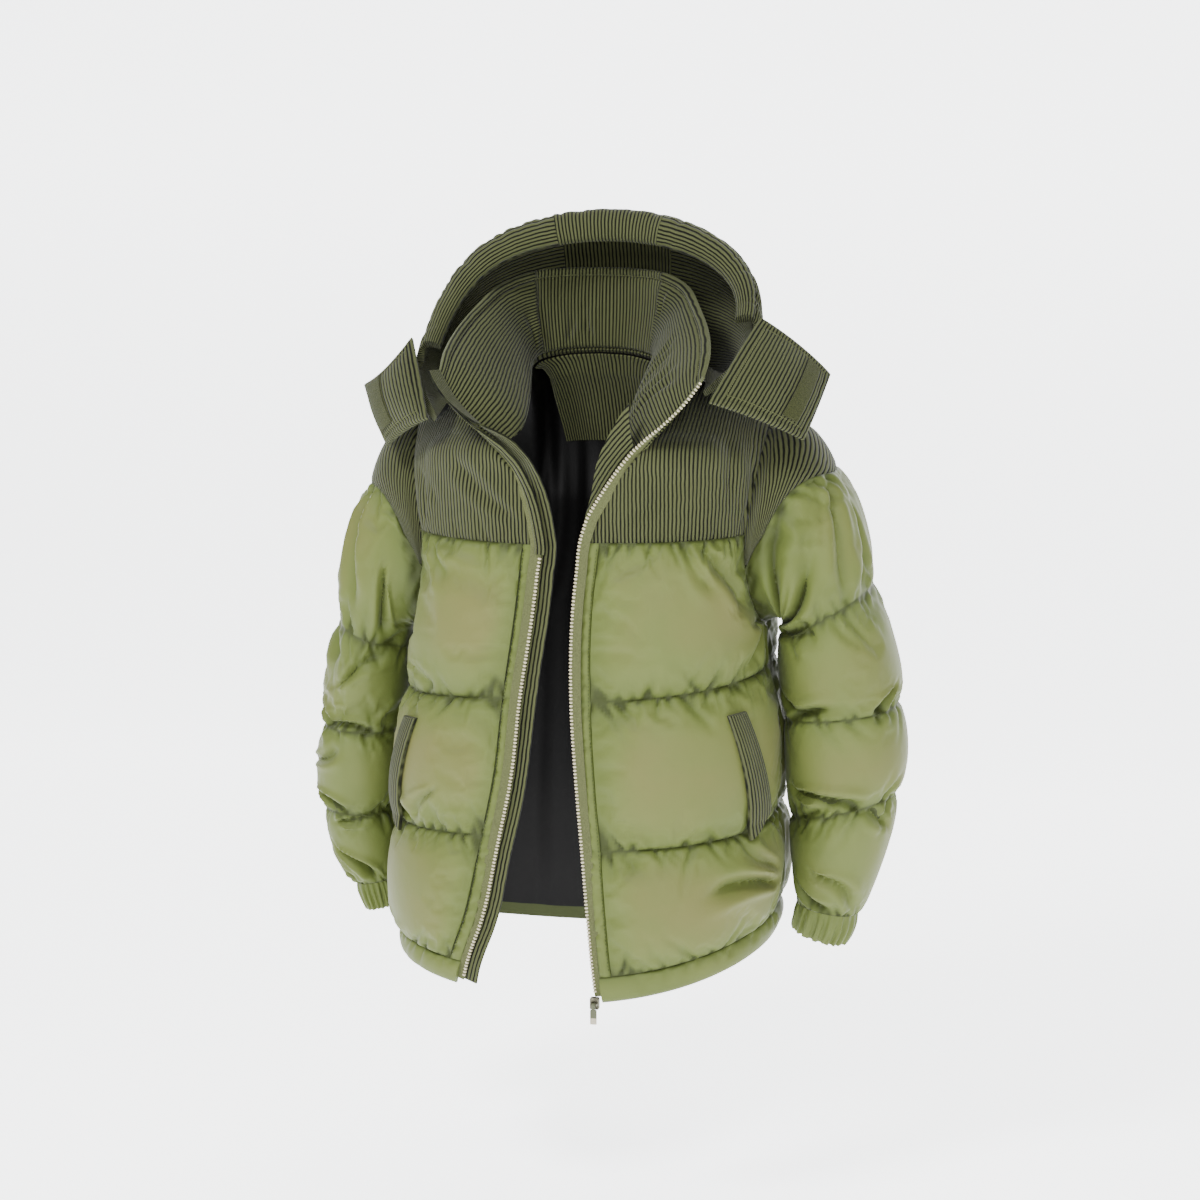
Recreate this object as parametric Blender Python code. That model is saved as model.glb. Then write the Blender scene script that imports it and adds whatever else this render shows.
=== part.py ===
"""Hooded puffer jacket with corduroy yokes, worn open, in the hollow pose that a wearer gives it.

Metres, +Z up. The wearer faces -Y and their left is +X; the origin is the middle of the neck, level with the
back neck seam. Every cloth piece is one closed wall: a plain inner surface, and an outer one that swells over
it where the cloth is padded. Pieces that are sewn together stand one seam gap apart and share the direction
of their wall along the seam.
"""

from functools import lru_cache

import bmesh
import bpy
import numpy as np
from mathutils import Matrix, Vector

# Driving sizes, metres.
SEAM_GAP = 0.0003
WALL = 0.003  # shell, padding and backing squeezed flat at a seam
SHELL_PUFF = 0.019  # swell of a body baffle over its seams
SLEEVE_PUFF = 0.010
YOKE_PUFF = 0.006
HEM_PUFF = 0.005
PLACKET_WIDTH = 0.014
PLACKET_PUFF = 0.003
RING_POWER = 2.8  # squareness of the body's level sections
TUBE_POWER = 2.3  # squareness of a sleeve's sections
PIT_ROW = 0.69  # the armpit, as a share of the first baffle below the yoke seam
ARMHOLE_DEPTH = 0.085  # front to back, from the shoulder line
SHOULDER_TIP = (0.200, 0.0, -0.047)
SHOULDER_ARCH = 0.010  # rise of the shoulder seam over a straight line
LINING_SPACE = 0.004
LINING_WALL = 0.0015
CUFF_GATHER = 0.0022
TAPE_WIDTH = 0.008
TAPE_WALL = 0.0012
EDGE_LIFT = 0.0034  # from the inner surface of the yoke to the collar's outer surface, at the corner
COLLAR_EDGE = 0.107  # length of the collar's front edge
FLAP_REACH = 0.023  # wind flap past the zip tape's seam
FACING_FOOT = 0.30  # how far up the back yoke the neck facing starts


def table(columns, *rows):
    """Named columns of a short table."""
    return dict(zip(columns.split(), np.array(rows, float).T))


# Body sections by height: half width, depth before and behind the side seams, and the middle's place in X.
BODY = table(
    "z width front back middle",
    (-0.700, 0.212, 0.157, 0.150, -0.005),
    (-0.650, 0.215, 0.161, 0.153, -0.006),
    (-0.580, 0.216, 0.159, 0.153, -0.006),
    (-0.500, 0.213, 0.156, 0.149, -0.005),
    (-0.420, 0.208, 0.153, 0.144, -0.003),
    (-0.340, 0.204, 0.151, 0.138, -0.002),
    (-0.260, 0.194, 0.149, 0.131, -0.001),
    (-0.150, 0.200, 0.147, 0.122, 0.000),
)
# Heights of the level seams round the body: front, left side, back, right side, front again.
SEAM_ANGLES = (0, 90, 180, 270, 360)
BODY_SEAMS = {
    "yoke": (-0.166, -0.158, -0.152, -0.163, -0.170),
    "quilt_1": (-0.342, -0.318, -0.335, -0.352, -0.340),
    "quilt_2": (-0.510, -0.490, -0.505, -0.507, -0.497),
    "hem": (-0.656, -0.604, -0.655, -0.634, -0.654),
    "hem_edge": (-0.686, -0.630, -0.684, -0.660, -0.683),
}
# X of the cloth's front edge by height, on the wearer's left (+1) and right (-1).
FRONT_EDGE = {
    1: table(
        "z x",
        (-0.700, 0.043),
        (-0.650, 0.037),
        (-0.589, 0.031),
        (-0.507, 0.024),
        (-0.425, 0.017),
        (-0.340, 0.012),
        (-0.250, 0.013),
        (-0.166, 0.021),
    ),
    -1: table(
        "z x",
        (-0.700, -0.136),
        (-0.644, -0.123),
        (-0.593, -0.105),
        (-0.511, -0.087),
        (-0.428, -0.070),
        (-0.342, -0.060),
        (-0.249, -0.046),
        (-0.170, -0.037),
    ),
}
# The edge from the yoke seam to the neck, with the way its wall faces; X is mirrored for the right.
LAPEL = {
    1: table(
        "x y z face_x face_y face_z",
        (0.029, -0.150, -0.140, 0.10, -0.99, -0.02),
        (0.045, -0.152, -0.112, 0.25, -0.95, -0.05),
        (0.062, -0.152, -0.086, 0.44, -0.88, -0.10),
    ),
    -1: table(
        "x y z face_x face_y face_z",
        (-0.041, -0.150, -0.140, -0.08, -0.99, -0.02),
        (-0.048, -0.152, -0.112, -0.20, -0.96, -0.05),
        (-0.060, -0.152, -0.086, -0.42, -0.90, -0.10),
    ),
}
# Half of the neckline, front corner to centre back, with the collar's upper edge above it and the wall's way.
NECK = table(
    "x y z top_x top_y top_z face_x face_y face_z",
    (0.077, -0.150, -0.066, 0.147, -0.140, 0.014, 0.62, -0.72, -0.20),
    (0.061, -0.110, -0.050, 0.149, -0.105, 0.036, 0.35, -0.40, 0.85),
    (0.061, -0.058, -0.029, 0.143, -0.060, 0.058, 0.25, -0.15, 0.96),
    (0.067, -0.012, -0.010, 0.129, -0.010, 0.081, 0.22, -0.05, 0.97),
    (0.073, 0.030, 0.005, 0.111, 0.040, 0.102, 0.20, 0.05, 0.97),
    (0.068, 0.064, 0.017, 0.078, 0.074, 0.116, 0.15, 0.45, 0.88),
    (0.038, 0.082, 0.024, 0.040, 0.088, 0.120, 0.05, 0.60, 0.80),
    (0.000, 0.086, 0.026, 0.000, 0.091, 0.121, 0.00, 0.65, 0.76),
)
SHOULDER_MARK = 4  # the neckline row where the shoulder seam meets it
BACK_MARK = 7
NECK_TWIST = -0.014  # the back of the neck sits this far to the wearer's right
# Sleeve sections: the outer and inner points, the depth's middle and its half. Row 0 is the armhole, rows
# 1 to 3 the quilting seams, row 4 the cuff seam and row 5 the cuff's end.
SLEEVE = {
    1: table(
        "s out_x out_z in_x in_z y depth",
        (0.00, 0.200, -0.047, 0.196, -0.268, 0.000, 0.086),
        (0.33, 0.243, -0.062, 0.212, -0.260, 0.001, 0.087),
        (0.66, 0.284, -0.128, 0.223, -0.268, 0.003, 0.084),
        (1.00, 0.312, -0.229, 0.219, -0.288, 0.006, 0.076),
        (2.00, 0.343, -0.364, 0.223, -0.380, 0.012, 0.066),
        (3.00, 0.341, -0.470, 0.231, -0.497, 0.016, 0.059),
        (4.00, 0.302, -0.613, 0.237, -0.602, 0.020, 0.036),
        (5.00, 0.288, -0.650, 0.233, -0.634, 0.022, 0.031),
    ),
    -1: table(
        "s out_x out_z in_x in_z y depth",
        (0.00, 0.200, -0.047, 0.196, -0.290, 0.000, 0.086),
        (0.33, 0.238, -0.078, 0.212, -0.282, 0.003, 0.087),
        (0.66, 0.272, -0.160, 0.224, -0.291, 0.007, 0.084),
        (1.00, 0.300, -0.283, 0.227, -0.314, 0.012, 0.074),
        (2.00, 0.328, -0.414, 0.243, -0.418, 0.026, 0.062),
        (3.00, 0.330, -0.520, 0.256, -0.522, 0.034, 0.055),
        (4.00, 0.300, -0.614, 0.254, -0.606, 0.036, 0.033),
        (5.00, 0.287, -0.646, 0.252, -0.638, 0.036, 0.029),
    ),
}
CUFF_SEAM = 4
# Hood meridians, rim to neck seam: half width, and the place in Y and Z at the sides and at the centre.
HOOD = table(
    "s width side_y back_y side_z back_z",
    (0.0, 0.168, -0.040, 0.046, 0.066, 0.152),
    (0.2, 0.180, -0.038, 0.054, 0.068, 0.172),
    (1.0, 0.190, -0.046, 0.118, 0.050, 0.166),
    (2.0, 0.186, -0.070, 0.168, 0.034, 0.078),
    (3.0, 0.170, -0.100, 0.155, 0.018, -0.008),
    (4.0, 0.148, -0.132, 0.116, -0.002, 0.046),
)
HOOD_RIM = 0.40  # the rim casing ends here
HOOD_LEAN = 0.009  # the top of the rim sits this far to the wearer's left
HOOD_TWIST = -0.022
HOOD_DROP = 0.034  # the wearer's right end hangs this much lower
HOOD_WALL = 0.005
RIM_PUFF = 0.007
# Corners of a throat flap, going round: root top, root front, outer front, outer top.
FLAP = {
    1: ((0.192, -0.044, 0.071), (0.153, -0.146, -0.012), (0.246, -0.092, -0.055), (0.265, -0.022, 0.010)),
    -1: ((-0.202, -0.046, 0.044), (-0.158, -0.142, -0.036), (-0.217, -0.092, -0.072), (-0.262, -0.030, -0.010)),
}
COLLAR_WALL = 0.004
COLLAR_PUFF = 0.011
FLAP_BULGE = 0.010
FLAP_NOTCH = {1: 0.0, -1: 0.15}  # how far the upper edge dips between its corners, as a share of the flap
FLAP_WALL = 0.004
FLAP_PUFF = 0.007

# Where the grids of points are cut. Angles go round an armhole from the shoulder tip, in degrees.
UPPER_ANGLES = (0, 12, 25, 38, 51, 64, 77, 90)
LOWER_ANGLES = (108, 126, 144, 162, 180)
INSERT_END = 108
BAFFLE_CUTS = (0.12, 0.5, 0.88, 1.0)
FRONT_COLUMNS = (0, 0.04, 0.13, 0.25, 0.38, 0.51, 0.64, 0.77, 0.89, 0.96, 1)
BACK_SIDE = (0, 0.05, 0.13, 0.21, 0.29, 0.342, 0.395, 0.447)
BACK_COLUMNS = (*BACK_SIDE, 0.5, *[1 - share for share in BACK_SIDE[::-1]])
NECK_FIRST, NECK_LAST = 4, 12  # the back columns that end on the neckline
LAPEL_ROWS = 3

COLOURS = {
    "satin": ((0.43, 0.45, 0.19), 0.38, 0.0),
    "corduroy": ((0.20, 0.22, 0.10), 0.85, 0.0),
    "lining": ((0.012, 0.011, 0.013), 0.60, 0.0),
    "tape": ((0.22, 0.23, 0.12), 0.80, 0.0),
    "hook_tape": ((0.17, 0.19, 0.09), 0.95, 0.0),
    "slider_metal": ((0.34, 0.33, 0.28), 0.35, 1.0),
    "pull_metal": ((0.42, 0.42, 0.33), 0.40, 1.0),
}


# ---- curves and surfaces ----


def smooth(places, values, at):
    """A smooth curve through the values, whose places rise."""
    places, values = np.asarray(places, float), np.asarray(values, float)
    at = np.clip(np.asarray(at, float), places[0], places[-1])
    slopes = np.gradient(values, places, axis=0)
    k = np.clip(np.searchsorted(places, at, side="right") - 1, 0, len(places) - 2)
    step = places[k + 1] - places[k]
    t = (at - places[k]) / step
    if values.ndim > 1:
        t, step = t[..., None], step[..., None]
    rise = values[k] * (2 * t**3 - 3 * t**2 + 1) + values[k + 1] * (3 * t**2 - 2 * t**3)
    return rise + step * (slopes[k] * (t**3 - 2 * t**2 + t) + slopes[k + 1] * (t**3 - t**2))


def columns(rows, *names):
    return np.stack([rows[name] for name in names], -1)


def unit(vectors):
    return vectors / np.linalg.norm(vectors, axis=-1, keepdims=True)


def power(value, exponent):
    return np.sign(value) * np.abs(value) ** exponent


def swell(share):
    """0 at both ends of a baffle and 1 along its middle, steep at the seams like a filled cushion."""
    share = np.clip(share, 0, 1)
    return (4 * share * (1 - share)) ** 0.55


def ease(share, least, reach):
    """Rises from least to 1 over the reach."""
    return least + (1 - least) * np.sin(np.pi / 2 * np.clip(share / reach, 0, 1))


def baffle_rows(first, last, cuts=BAFFLE_CUTS):
    return [seam + cut for seam in range(first, last) for cut in cuts]


def seam_height(angle, row):
    """Height on the body: row 0 is the yoke seam, 1 and 2 the quilting, 3 and 4 the hem's seam and edge."""
    heights = np.array([smooth(SEAM_ANGLES, z, angle) for z in BODY_SEAMS.values()])
    below = np.clip(np.floor(row), 0, len(BODY_SEAMS) - 2).astype(int)
    part = row - below
    upper = np.take_along_axis(heights, below[None], 0)[0]
    lower = np.take_along_axis(heights, below[None] + 1, 0)[0]
    return upper * (1 - part) + lower * part


def body_point(angle, row):
    """A point of the body's inner surface. Angle 0 is the centre front and 90 the wearer's left side."""
    angle, row = np.broadcast_arrays(np.asarray(angle, float), np.asarray(row, float))
    z = seam_height(angle, row)
    width, front, back, middle = (smooth(BODY["z"], BODY[c], z) for c in ("width", "front", "back", "middle"))
    across, along = np.sin(np.radians(angle)), np.cos(np.radians(angle))
    x = middle + width * power(across, 2 / RING_POWER)
    y = -np.where(along > 0, front, back) * power(along, 2 / RING_POWER)
    return np.stack([x, y, z], -1)


def body_facing(angle, row):
    """The way the body's wall faces."""
    step = 0.4
    around = body_point(np.asarray(angle) + step, row) - body_point(np.asarray(angle) - step, row)
    down = body_point(angle, np.asarray(row) + 0.02) - body_point(angle, np.asarray(row) - 0.02)
    return unit(np.cross(down, around))


def on_side(side, angle):
    return angle if side > 0 else 360 - angle


def edge_angle(side, row, inset):
    """The angle at which the front edge, moved back by the inset, crosses a row."""
    angle = on_side(side, 5.0)
    for _ in range(4):
        z = seam_height(np.asarray(angle), np.asarray(row, float))
        x = smooth(FRONT_EDGE[side]["z"], FRONT_EDGE[side]["x"], z) + side * inset
        reach = side * (x - smooth(BODY["z"], BODY["middle"], z)) / smooth(BODY["z"], BODY["width"], z)
        angle = on_side(side, np.degrees(np.arcsin(reach ** (RING_POWER / 2))))
    return float(angle)


@lru_cache(maxsize=None)
def side_angle(side, face, row):
    """Where a row ends: on the armhole above the armpit, and on the side seam below. Face is -1 in front."""
    if row >= PIT_ROW:
        return on_side(side, 90.0)
    depth = ARMHOLE_DEPTH * np.sqrt(1 - (row / PIT_ROW) ** 2)
    angle = 90.0
    for _ in range(12):
        z = seam_height(np.asarray(on_side(side, angle)), np.asarray(float(row)))
        reach = smooth(BODY["z"], BODY["front" if face < 0 else "back"], z)
        angle = 90 + face * (90 - np.degrees(np.arccos((depth / reach) ** (RING_POWER / 2))))
    return on_side(side, float(angle))


@lru_cache(maxsize=None)
def armhole_point(side, turn):
    """A point of the armhole: turn is 0 at the shoulder tip, 90 at the back yoke seam and -90 in front."""
    face = -1 if turn < 0 else 1
    level = np.cos(np.radians(turn))
    if level <= 1e-9:
        row = -PIT_ROW * level
        return body_point(side_angle(side, face, row), row)
    foot = body_point(side_angle(side, face, 0.0), 0.0)
    tip = np.array(SHOULDER_TIP) * (side, 1, 1)
    point = foot + (tip - foot) * level
    point[1] = foot[1] * np.sin(np.radians(abs(turn)))
    return point


def armhole_facing(side, turn):
    turn = np.radians(np.asarray(turn, float))
    return np.stack([0.6 * side + 0 * turn, 0.8 * np.sin(turn), 0.8 * np.cos(turn)], -1)


def neck_rows(marks, *names):
    """The neckline's columns at marks: 0 is its left front corner, 7 the centre back, 14 the right corner."""
    marks = np.asarray(marks, float)
    mirrored = np.minimum(marks, 2 * BACK_MARK - marks)
    rows = smooth(np.arange(BACK_MARK + 1), columns(NECK, *names), mirrored)
    rows[..., 0] *= np.where(marks > BACK_MARK, -1, 1)
    return rows


def twisted(points):
    """Shifts the back of the neck to the wearer's right, and leaves the front corners."""
    share = np.clip((points[..., 1] + 0.15) / 0.24, 0, 1)
    moved = points.copy()
    moved[..., 0] += NECK_TWIST * share**2 * (3 - 2 * share)
    return moved


def neck_point(marks):
    return twisted(neck_rows(marks, "x", "y", "z"))


def neck_facing(marks):
    return unit(neck_rows(marks, "face_x", "face_y", "face_z"))


def grid_facing(points, centre, around=False):
    """Unit normals of a grid of points that face away from the centre."""
    if around:
        across = np.roll(points, -1, 1) - np.roll(points, 1, 1)
    else:
        across = np.gradient(points, axis=1)
    normals = unit(np.cross(np.gradient(points, axis=0), across))
    return normals * np.sign(np.sum(normals * (points - centre)))


def patch(bottom, top, left, right, across, up):
    """The surface spanned by four edges that meet at its corners."""
    u, v = across[None, :, None], up[:, None, None]
    sides = (1 - u) * left[:, None] + u * right[:, None]
    ends = (1 - v) * bottom[None] + v * top[None]
    low = (1 - u) * bottom[0] + u * bottom[-1]
    high = (1 - u) * top[0] + u * top[-1]
    return sides + ends - (1 - v) * low - v * high


def pull_in(points, around=False, gap=SEAM_GAP / 2):
    """Moves the outer rows and columns in, so that two sewn pieces stand a seam gap apart."""
    moved = points.copy()
    moved[0] += gap * unit(points[1] - points[0])
    moved[-1] += gap * unit(points[-2] - points[-1])
    if not around:
        moved[:, 0] += gap * unit(points[:, 1] - points[:, 0])
        moved[:, -1] += gap * unit(points[:, -2] - points[:, -1])
    return moved


# ---- solids ----


def material(name):
    made = bpy.data.materials.get(name)
    if made is None:
        colour, roughness, metallic = COLOURS[name]
        made = bpy.data.materials.new(name)
        made.use_nodes = True
        shader = made.node_tree.nodes["Principled BSDF"]
        shader.inputs["Base Color"].default_value = (*colour, 1)
        shader.inputs["Roughness"].default_value = roughness
        shader.inputs["Metallic"].default_value = metallic
        made.diffuse_color = (*colour, 1)
    return made


def add_object(name, mesh, surface):
    mesh.materials.append(material(surface))
    made = bpy.data.objects.new(name, mesh)
    bpy.context.scene.collection.objects.link(made)
    return made


def wall(name, inner, outer, surface, around=False):
    """One closed wall between two grids of points, as triangles that turn the same way on both faces."""
    rows, cols = inner.shape[:2]
    place = np.arange(rows * cols).reshape(rows, cols)
    last = cols if around else cols - 1
    faces = []
    for i in range(rows - 1):
        for j in range(last):
            k = (j + 1) % cols
            a, b, c, d = place[i, j], place[i, k], place[i + 1, k], place[i + 1, j]
            faces += [(a, b, c), (a, c, d)]
    back = rows * cols
    faces += [(a + back, c + back, b + back) for a, b, c in faces]
    rim = [place[0, j] for j in range(cols)] + ([place[0, 0]] if around else [])
    foot = [place[-1, j] for j in range(cols)] + ([place[-1, 0]] if around else [])
    strips = [rim, foot[::-1]]
    if not around:
        strips = [[*rim, *place[1:, -1], *foot[-2::-1], *place[-2::-1, 0]]]
    for strip in strips:
        for a, b in zip(strip, strip[1:]):
            # The split follows the points' order, so two sewn edges are split alike.
            if a < b:
                faces += [(b, a, a + back), (b, a + back, b + back)]
            else:
                faces += [(b, a, b + back), (a, a + back, b + back)]
    points = np.concatenate([outer.reshape(-1, 3), inner.reshape(-1, 3)])
    corners = points[np.array(faces)]
    if np.linalg.det(corners).sum() < 0:
        faces = [face[::-1] for face in faces]
    mesh = bpy.data.meshes.new(name)
    mesh.from_pydata(points.tolist(), [], [tuple(int(k) for k in face) for face in faces])
    mesh.shade_smooth()
    mesh.set_sharp_from_angle(angle=np.radians(50))
    return add_object(name, mesh, surface)


def skin(points, facing, low, high):
    """Inner and outer grids at two heights over a surface."""
    low, high = (np.broadcast_to(h, points.shape[:2])[..., None] for h in (low, high))
    return points + facing * low, points + facing * high


# ---- body panels ----


def body_grid(starts, ends, shares, rows):
    """Angles of a body panel's points, row by row."""
    starts, ends = np.array(starts)[:, None], np.array(ends)[:, None]
    angles = starts + (ends - starts) * np.array(shares)[None]
    return angles, np.broadcast_to(np.array(rows, float)[:, None], angles.shape)


ARMHOLE_ROWS = [float(-PIT_ROW * np.cos(np.radians(turn))) for turn in (90, *LOWER_ANGLES)]
PANEL_ROWS = [abs(row) for row in ARMHOLE_ROWS] + [0.82, 0.93, 1.0, *baffle_rows(1, 3)]
HEM_ROWS = [3.0, 3.15, 3.5, 3.85, 4.0]


def side_facing(side, face, points_facing, rows):
    """Turns a panel's wall the way of the armhole seam where it ends there."""
    for i, row in enumerate(rows):
        if row < PIT_ROW - 1e-6:
            points_facing[i] = armhole_facing(side, face * np.degrees(np.arccos(-row / PIT_ROW)))
        elif row < PIT_ROW + 1e-6:
            points_facing[i] = armhole_facing(side, 180)


def front_panel(side, name):
    starts = [edge_angle(side, row, PLACKET_WIDTH) for row in PANEL_ROWS]
    ends = [side_angle(side, -1, row) for row in PANEL_ROWS]
    angles, rows = body_grid(starts, ends, FRONT_COLUMNS, PANEL_ROWS)
    points, facing = body_point(angles, rows), body_facing(angles, rows)
    side_facing(side, -1, facing[:, -1], PANEL_ROWS)
    shares = np.array(FRONT_COLUMNS)[None]
    at_side = np.where(rows[:, :1] < PIT_ROW + 1e-6, 0.05, np.where(rows[:, :1] < 1, 0.15, 0.45))
    puff = SHELL_PUFF * swell(rows % 1) * ease(shares, 0.25, 0.14) * ease(1 - shares, at_side, 0.32)
    wall(name, *skin(pull_in(points), facing, 0, WALL + puff), "satin")


def placket(side, name):
    starts = [edge_angle(side, row, 0) for row in PANEL_ROWS]
    ends = [edge_angle(side, row, PLACKET_WIDTH) for row in PANEL_ROWS]
    shares = (0, 0.25, 0.75, 1)
    angles, rows = body_grid(starts, ends, shares, PANEL_ROWS)
    puff = PLACKET_PUFF * swell(np.array(shares)[None]) * ease(swell(rows % 1), 0.4, 1)
    wall(name, *skin(pull_in(body_point(angles, rows)), body_facing(angles, rows), 0, WALL + puff), "satin")


def back_panel():
    starts = [side_angle(1, 1, row) for row in PANEL_ROWS]
    ends = [side_angle(-1, 1, row) for row in PANEL_ROWS]
    angles, rows = body_grid(starts, ends, BACK_COLUMNS, PANEL_ROWS)
    points, facing = body_point(angles, rows), body_facing(angles, rows)
    side_facing(1, 1, facing[:, 0], PANEL_ROWS)
    side_facing(-1, 1, facing[:, -1], PANEL_ROWS)
    shares = np.array(BACK_COLUMNS)[None]
    at_side = np.where(rows[:, :1] < PIT_ROW + 1e-6, 0.05, np.where(rows[:, :1] < 1, 0.15, 0.45))
    puff = SHELL_PUFF * swell(rows % 1) * ease(shares, at_side, 0.18) * ease(1 - shares, at_side, 0.18)
    wall("back", *skin(pull_in(points), facing, 0, WALL + puff), "satin")


def hem_band(name, starts, ends, shares):
    angles, rows = body_grid(starts, ends, shares, HEM_ROWS)
    puff = HEM_PUFF * swell(rows - 3)
    wall(name, *skin(pull_in(body_point(angles, rows)), body_facing(angles, rows), 0, WALL + puff), "satin")


def hem_bands():
    for side, name in ((1, "hem_front_left"), (-1, "hem_front_right")):
        starts = [edge_angle(side, row, 0) for row in HEM_ROWS]
        hem_band(name, starts, [on_side(side, 90.0)] * len(HEM_ROWS), FRONT_COLUMNS)
    hem_band("hem_back", [90.0] * len(HEM_ROWS), [270.0] * len(HEM_ROWS), BACK_COLUMNS)


# ---- yokes, up to the shoulder seams and the neckline ----


def lapel_curve(side, steps):
    """The front edge from the yoke seam to the neck corner, with the way its wall faces."""
    start = edge_angle(side, 0.0, 0)
    corner = 0 if side > 0 else 2 * BACK_MARK
    points = [body_point(start, 0.0), *columns(LAPEL[side], "x", "y", "z"), neck_point(corner)]
    facing = columns(LAPEL[side], "face_x", "face_y", "face_z")
    facing = [body_facing(start, 0.0), *facing, neck_facing(corner)]
    places = np.linspace(0, 1, len(points))
    at = np.linspace(0, 1, steps + 1)
    return smooth(places, points, at), unit(smooth(places, facing, at))


def shoulder_line(side, shares):
    """Points and wall directions from the neck to the shoulder tip."""
    mark = SHOULDER_MARK if side > 0 else 2 * BACK_MARK - SHOULDER_MARK
    neck, tip = neck_point(mark), np.array(SHOULDER_TIP) * (side, 1, 1)
    shares = np.asarray(shares, float)[:, None]
    facing = neck_facing(mark) * (1 - shares) + armhole_facing(side, 0) * shares
    arch = np.array([0, 0, SHOULDER_ARCH]) * np.sin(np.pi * shares)
    return neck * (1 - shares) + tip * shares + arch, facing


def front_yoke(side, name):
    start, end = edge_angle(side, 0.0, 0), side_angle(side, -1, 0.0)
    seam = edge_angle(side, 0.0, PLACKET_WIDTH)
    angles = np.array([start, *(seam + (end - seam) * np.array(FRONT_COLUMNS))])
    across = (angles - start) / (end - start)
    turns = -np.array(UPPER_ANGLES[::-1], float)
    up = (90 + turns) / 90
    lapel, lapel_facing = lapel_curve(side, LAPEL_ROWS)
    marks = np.linspace(0, SHOULDER_MARK, len(turns) - LAPEL_ROWS)
    marks = marks if side > 0 else 2 * BACK_MARK - marks
    inner_edge = np.concatenate([lapel[:-1], neck_point(marks)])
    armhole = np.array([armhole_point(side, turn) for turn in turns])
    top, top_facing = shoulder_line(side, across)
    points = patch(body_point(angles, 0.0), top, inner_edge, armhole, across, up)
    facing = grid_facing(points, np.array([0, 0, -0.3]))
    facing[:, 0] = np.concatenate([lapel_facing[:-1], neck_facing(marks)])
    facing[:, -1] = [armhole_facing(side, turn) for turn in turns]
    facing[-1] = top_facing
    facing[0, :-1] = body_facing(angles[:-1], 0.0)
    puff = YOKE_PUFF * swell(across)[None] * swell(up)[:, None]
    wall(name, *skin(pull_in(points), facing, 0, WALL + puff), "corduroy")


def back_yoke_grid():
    """Points and wall directions of the back yoke, its columns continuing the back panel's."""
    start, end = side_angle(1, 1, 0.0), side_angle(-1, 1, 0.0)
    across = np.array(BACK_COLUMNS)
    angles = start + (end - start) * across
    turns = np.array(UPPER_ANGLES[::-1], float)
    up = (90 - turns) / 90
    left = np.array([armhole_point(1, turn) for turn in turns])
    right = np.array([armhole_point(-1, turn) for turn in turns])
    first, last = across[NECK_FIRST], across[NECK_LAST]
    left_top, left_way = shoulder_line(1, 1 - across[:NECK_FIRST] / first)
    right_top, right_way = shoulder_line(-1, (across[NECK_LAST + 1 :] - last) / (1 - last))
    marks = SHOULDER_MARK + (across[NECK_FIRST : NECK_LAST + 1] - first) / (last - first) * 2 * (
        BACK_MARK - SHOULDER_MARK
    )
    top = np.concatenate([left_top, neck_point(marks), right_top])
    points = patch(body_point(angles, 0.0), top, left, right, across, up)
    facing = grid_facing(points, np.array([0, 0, -0.3]))
    facing[-1] = np.concatenate([left_way, neck_facing(marks), right_way])
    facing[:, 0] = [armhole_facing(1, turn) for turn in turns]
    facing[:, -1] = [armhole_facing(-1, turn) for turn in turns]
    facing[0, 1:-1] = body_facing(angles[1:-1], 0.0)
    return points, facing, across, up


def back_yoke():
    points, facing, across, up = back_yoke_grid()
    puff = YOKE_PUFF * swell(across)[None] * swell(up)[:, None]
    wall("yoke_back", *skin(pull_in(points), facing, 0, WALL + puff), "corduroy")


# ---- sleeves, shoulder inserts and cuffs ----


def sleeve_ring(side, turns, rows):
    sections = SLEEVE[side]
    out = smooth(sections["s"], columns(sections, "out_x", "out_z"), rows)
    inn = smooth(sections["s"], columns(sections, "in_x", "in_z"), rows)
    y, depth = (smooth(sections["s"], sections[c], rows) for c in ("y", "depth"))
    around = power(np.cos(np.radians(turns)), 2 / TUBE_POWER)
    beside = power(np.sin(np.radians(turns)), 2 / TUBE_POWER)
    flat = (out + inn) / 2 + (out - inn) / 2 * around[..., None]
    return np.stack([side * flat[..., 0], y + depth * beside, flat[..., 1]], -1)


def sleeve_point(side, turns, rows):
    """A point of a sleeve's inner surface, led to the armhole over the first stretch."""
    turns, rows = np.broadcast_arrays(np.asarray(turns, float), np.asarray(rows, float))
    wrapped = (turns + 180) % 360 - 180
    seam = np.array([armhole_point(side, turn) for turn in wrapped.ravel()]).reshape(*turns.shape, 3)
    lead = np.clip(1 - rows / 0.9, 0, 1)[..., None] ** 1.5
    return sleeve_ring(side, turns, rows) + lead * (seam - sleeve_ring(side, turns, np.zeros_like(rows)))


def sleeve_facing(side, turns, rows):
    turns, rows = np.broadcast_arrays(np.asarray(turns, float), np.asarray(rows, float))
    around = sleeve_point(side, turns + 3, rows) - sleeve_point(side, turns - 3, rows)
    low, high = np.clip(rows - 0.03, 0, 5), np.clip(rows + 0.03, 0, 5)
    along = sleeve_point(side, turns, high) - sleeve_point(side, turns, low)
    facing = unit(np.cross(around, along)) * -side
    blend = np.clip(1 - rows / 0.12, 0, 1)[..., None]
    way = armhole_facing(side, turns)
    level = np.clip(1 - abs(rows - CUFF_SEAM) / 0.05, 0, 1)[..., None]
    ring = sleeve_ring(side, turns, rows)
    out = unit(ring - ring.mean(axis=-2, keepdims=True))
    return unit(facing * (1 - blend) * (1 - level) + way * blend + out * level)


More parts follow.
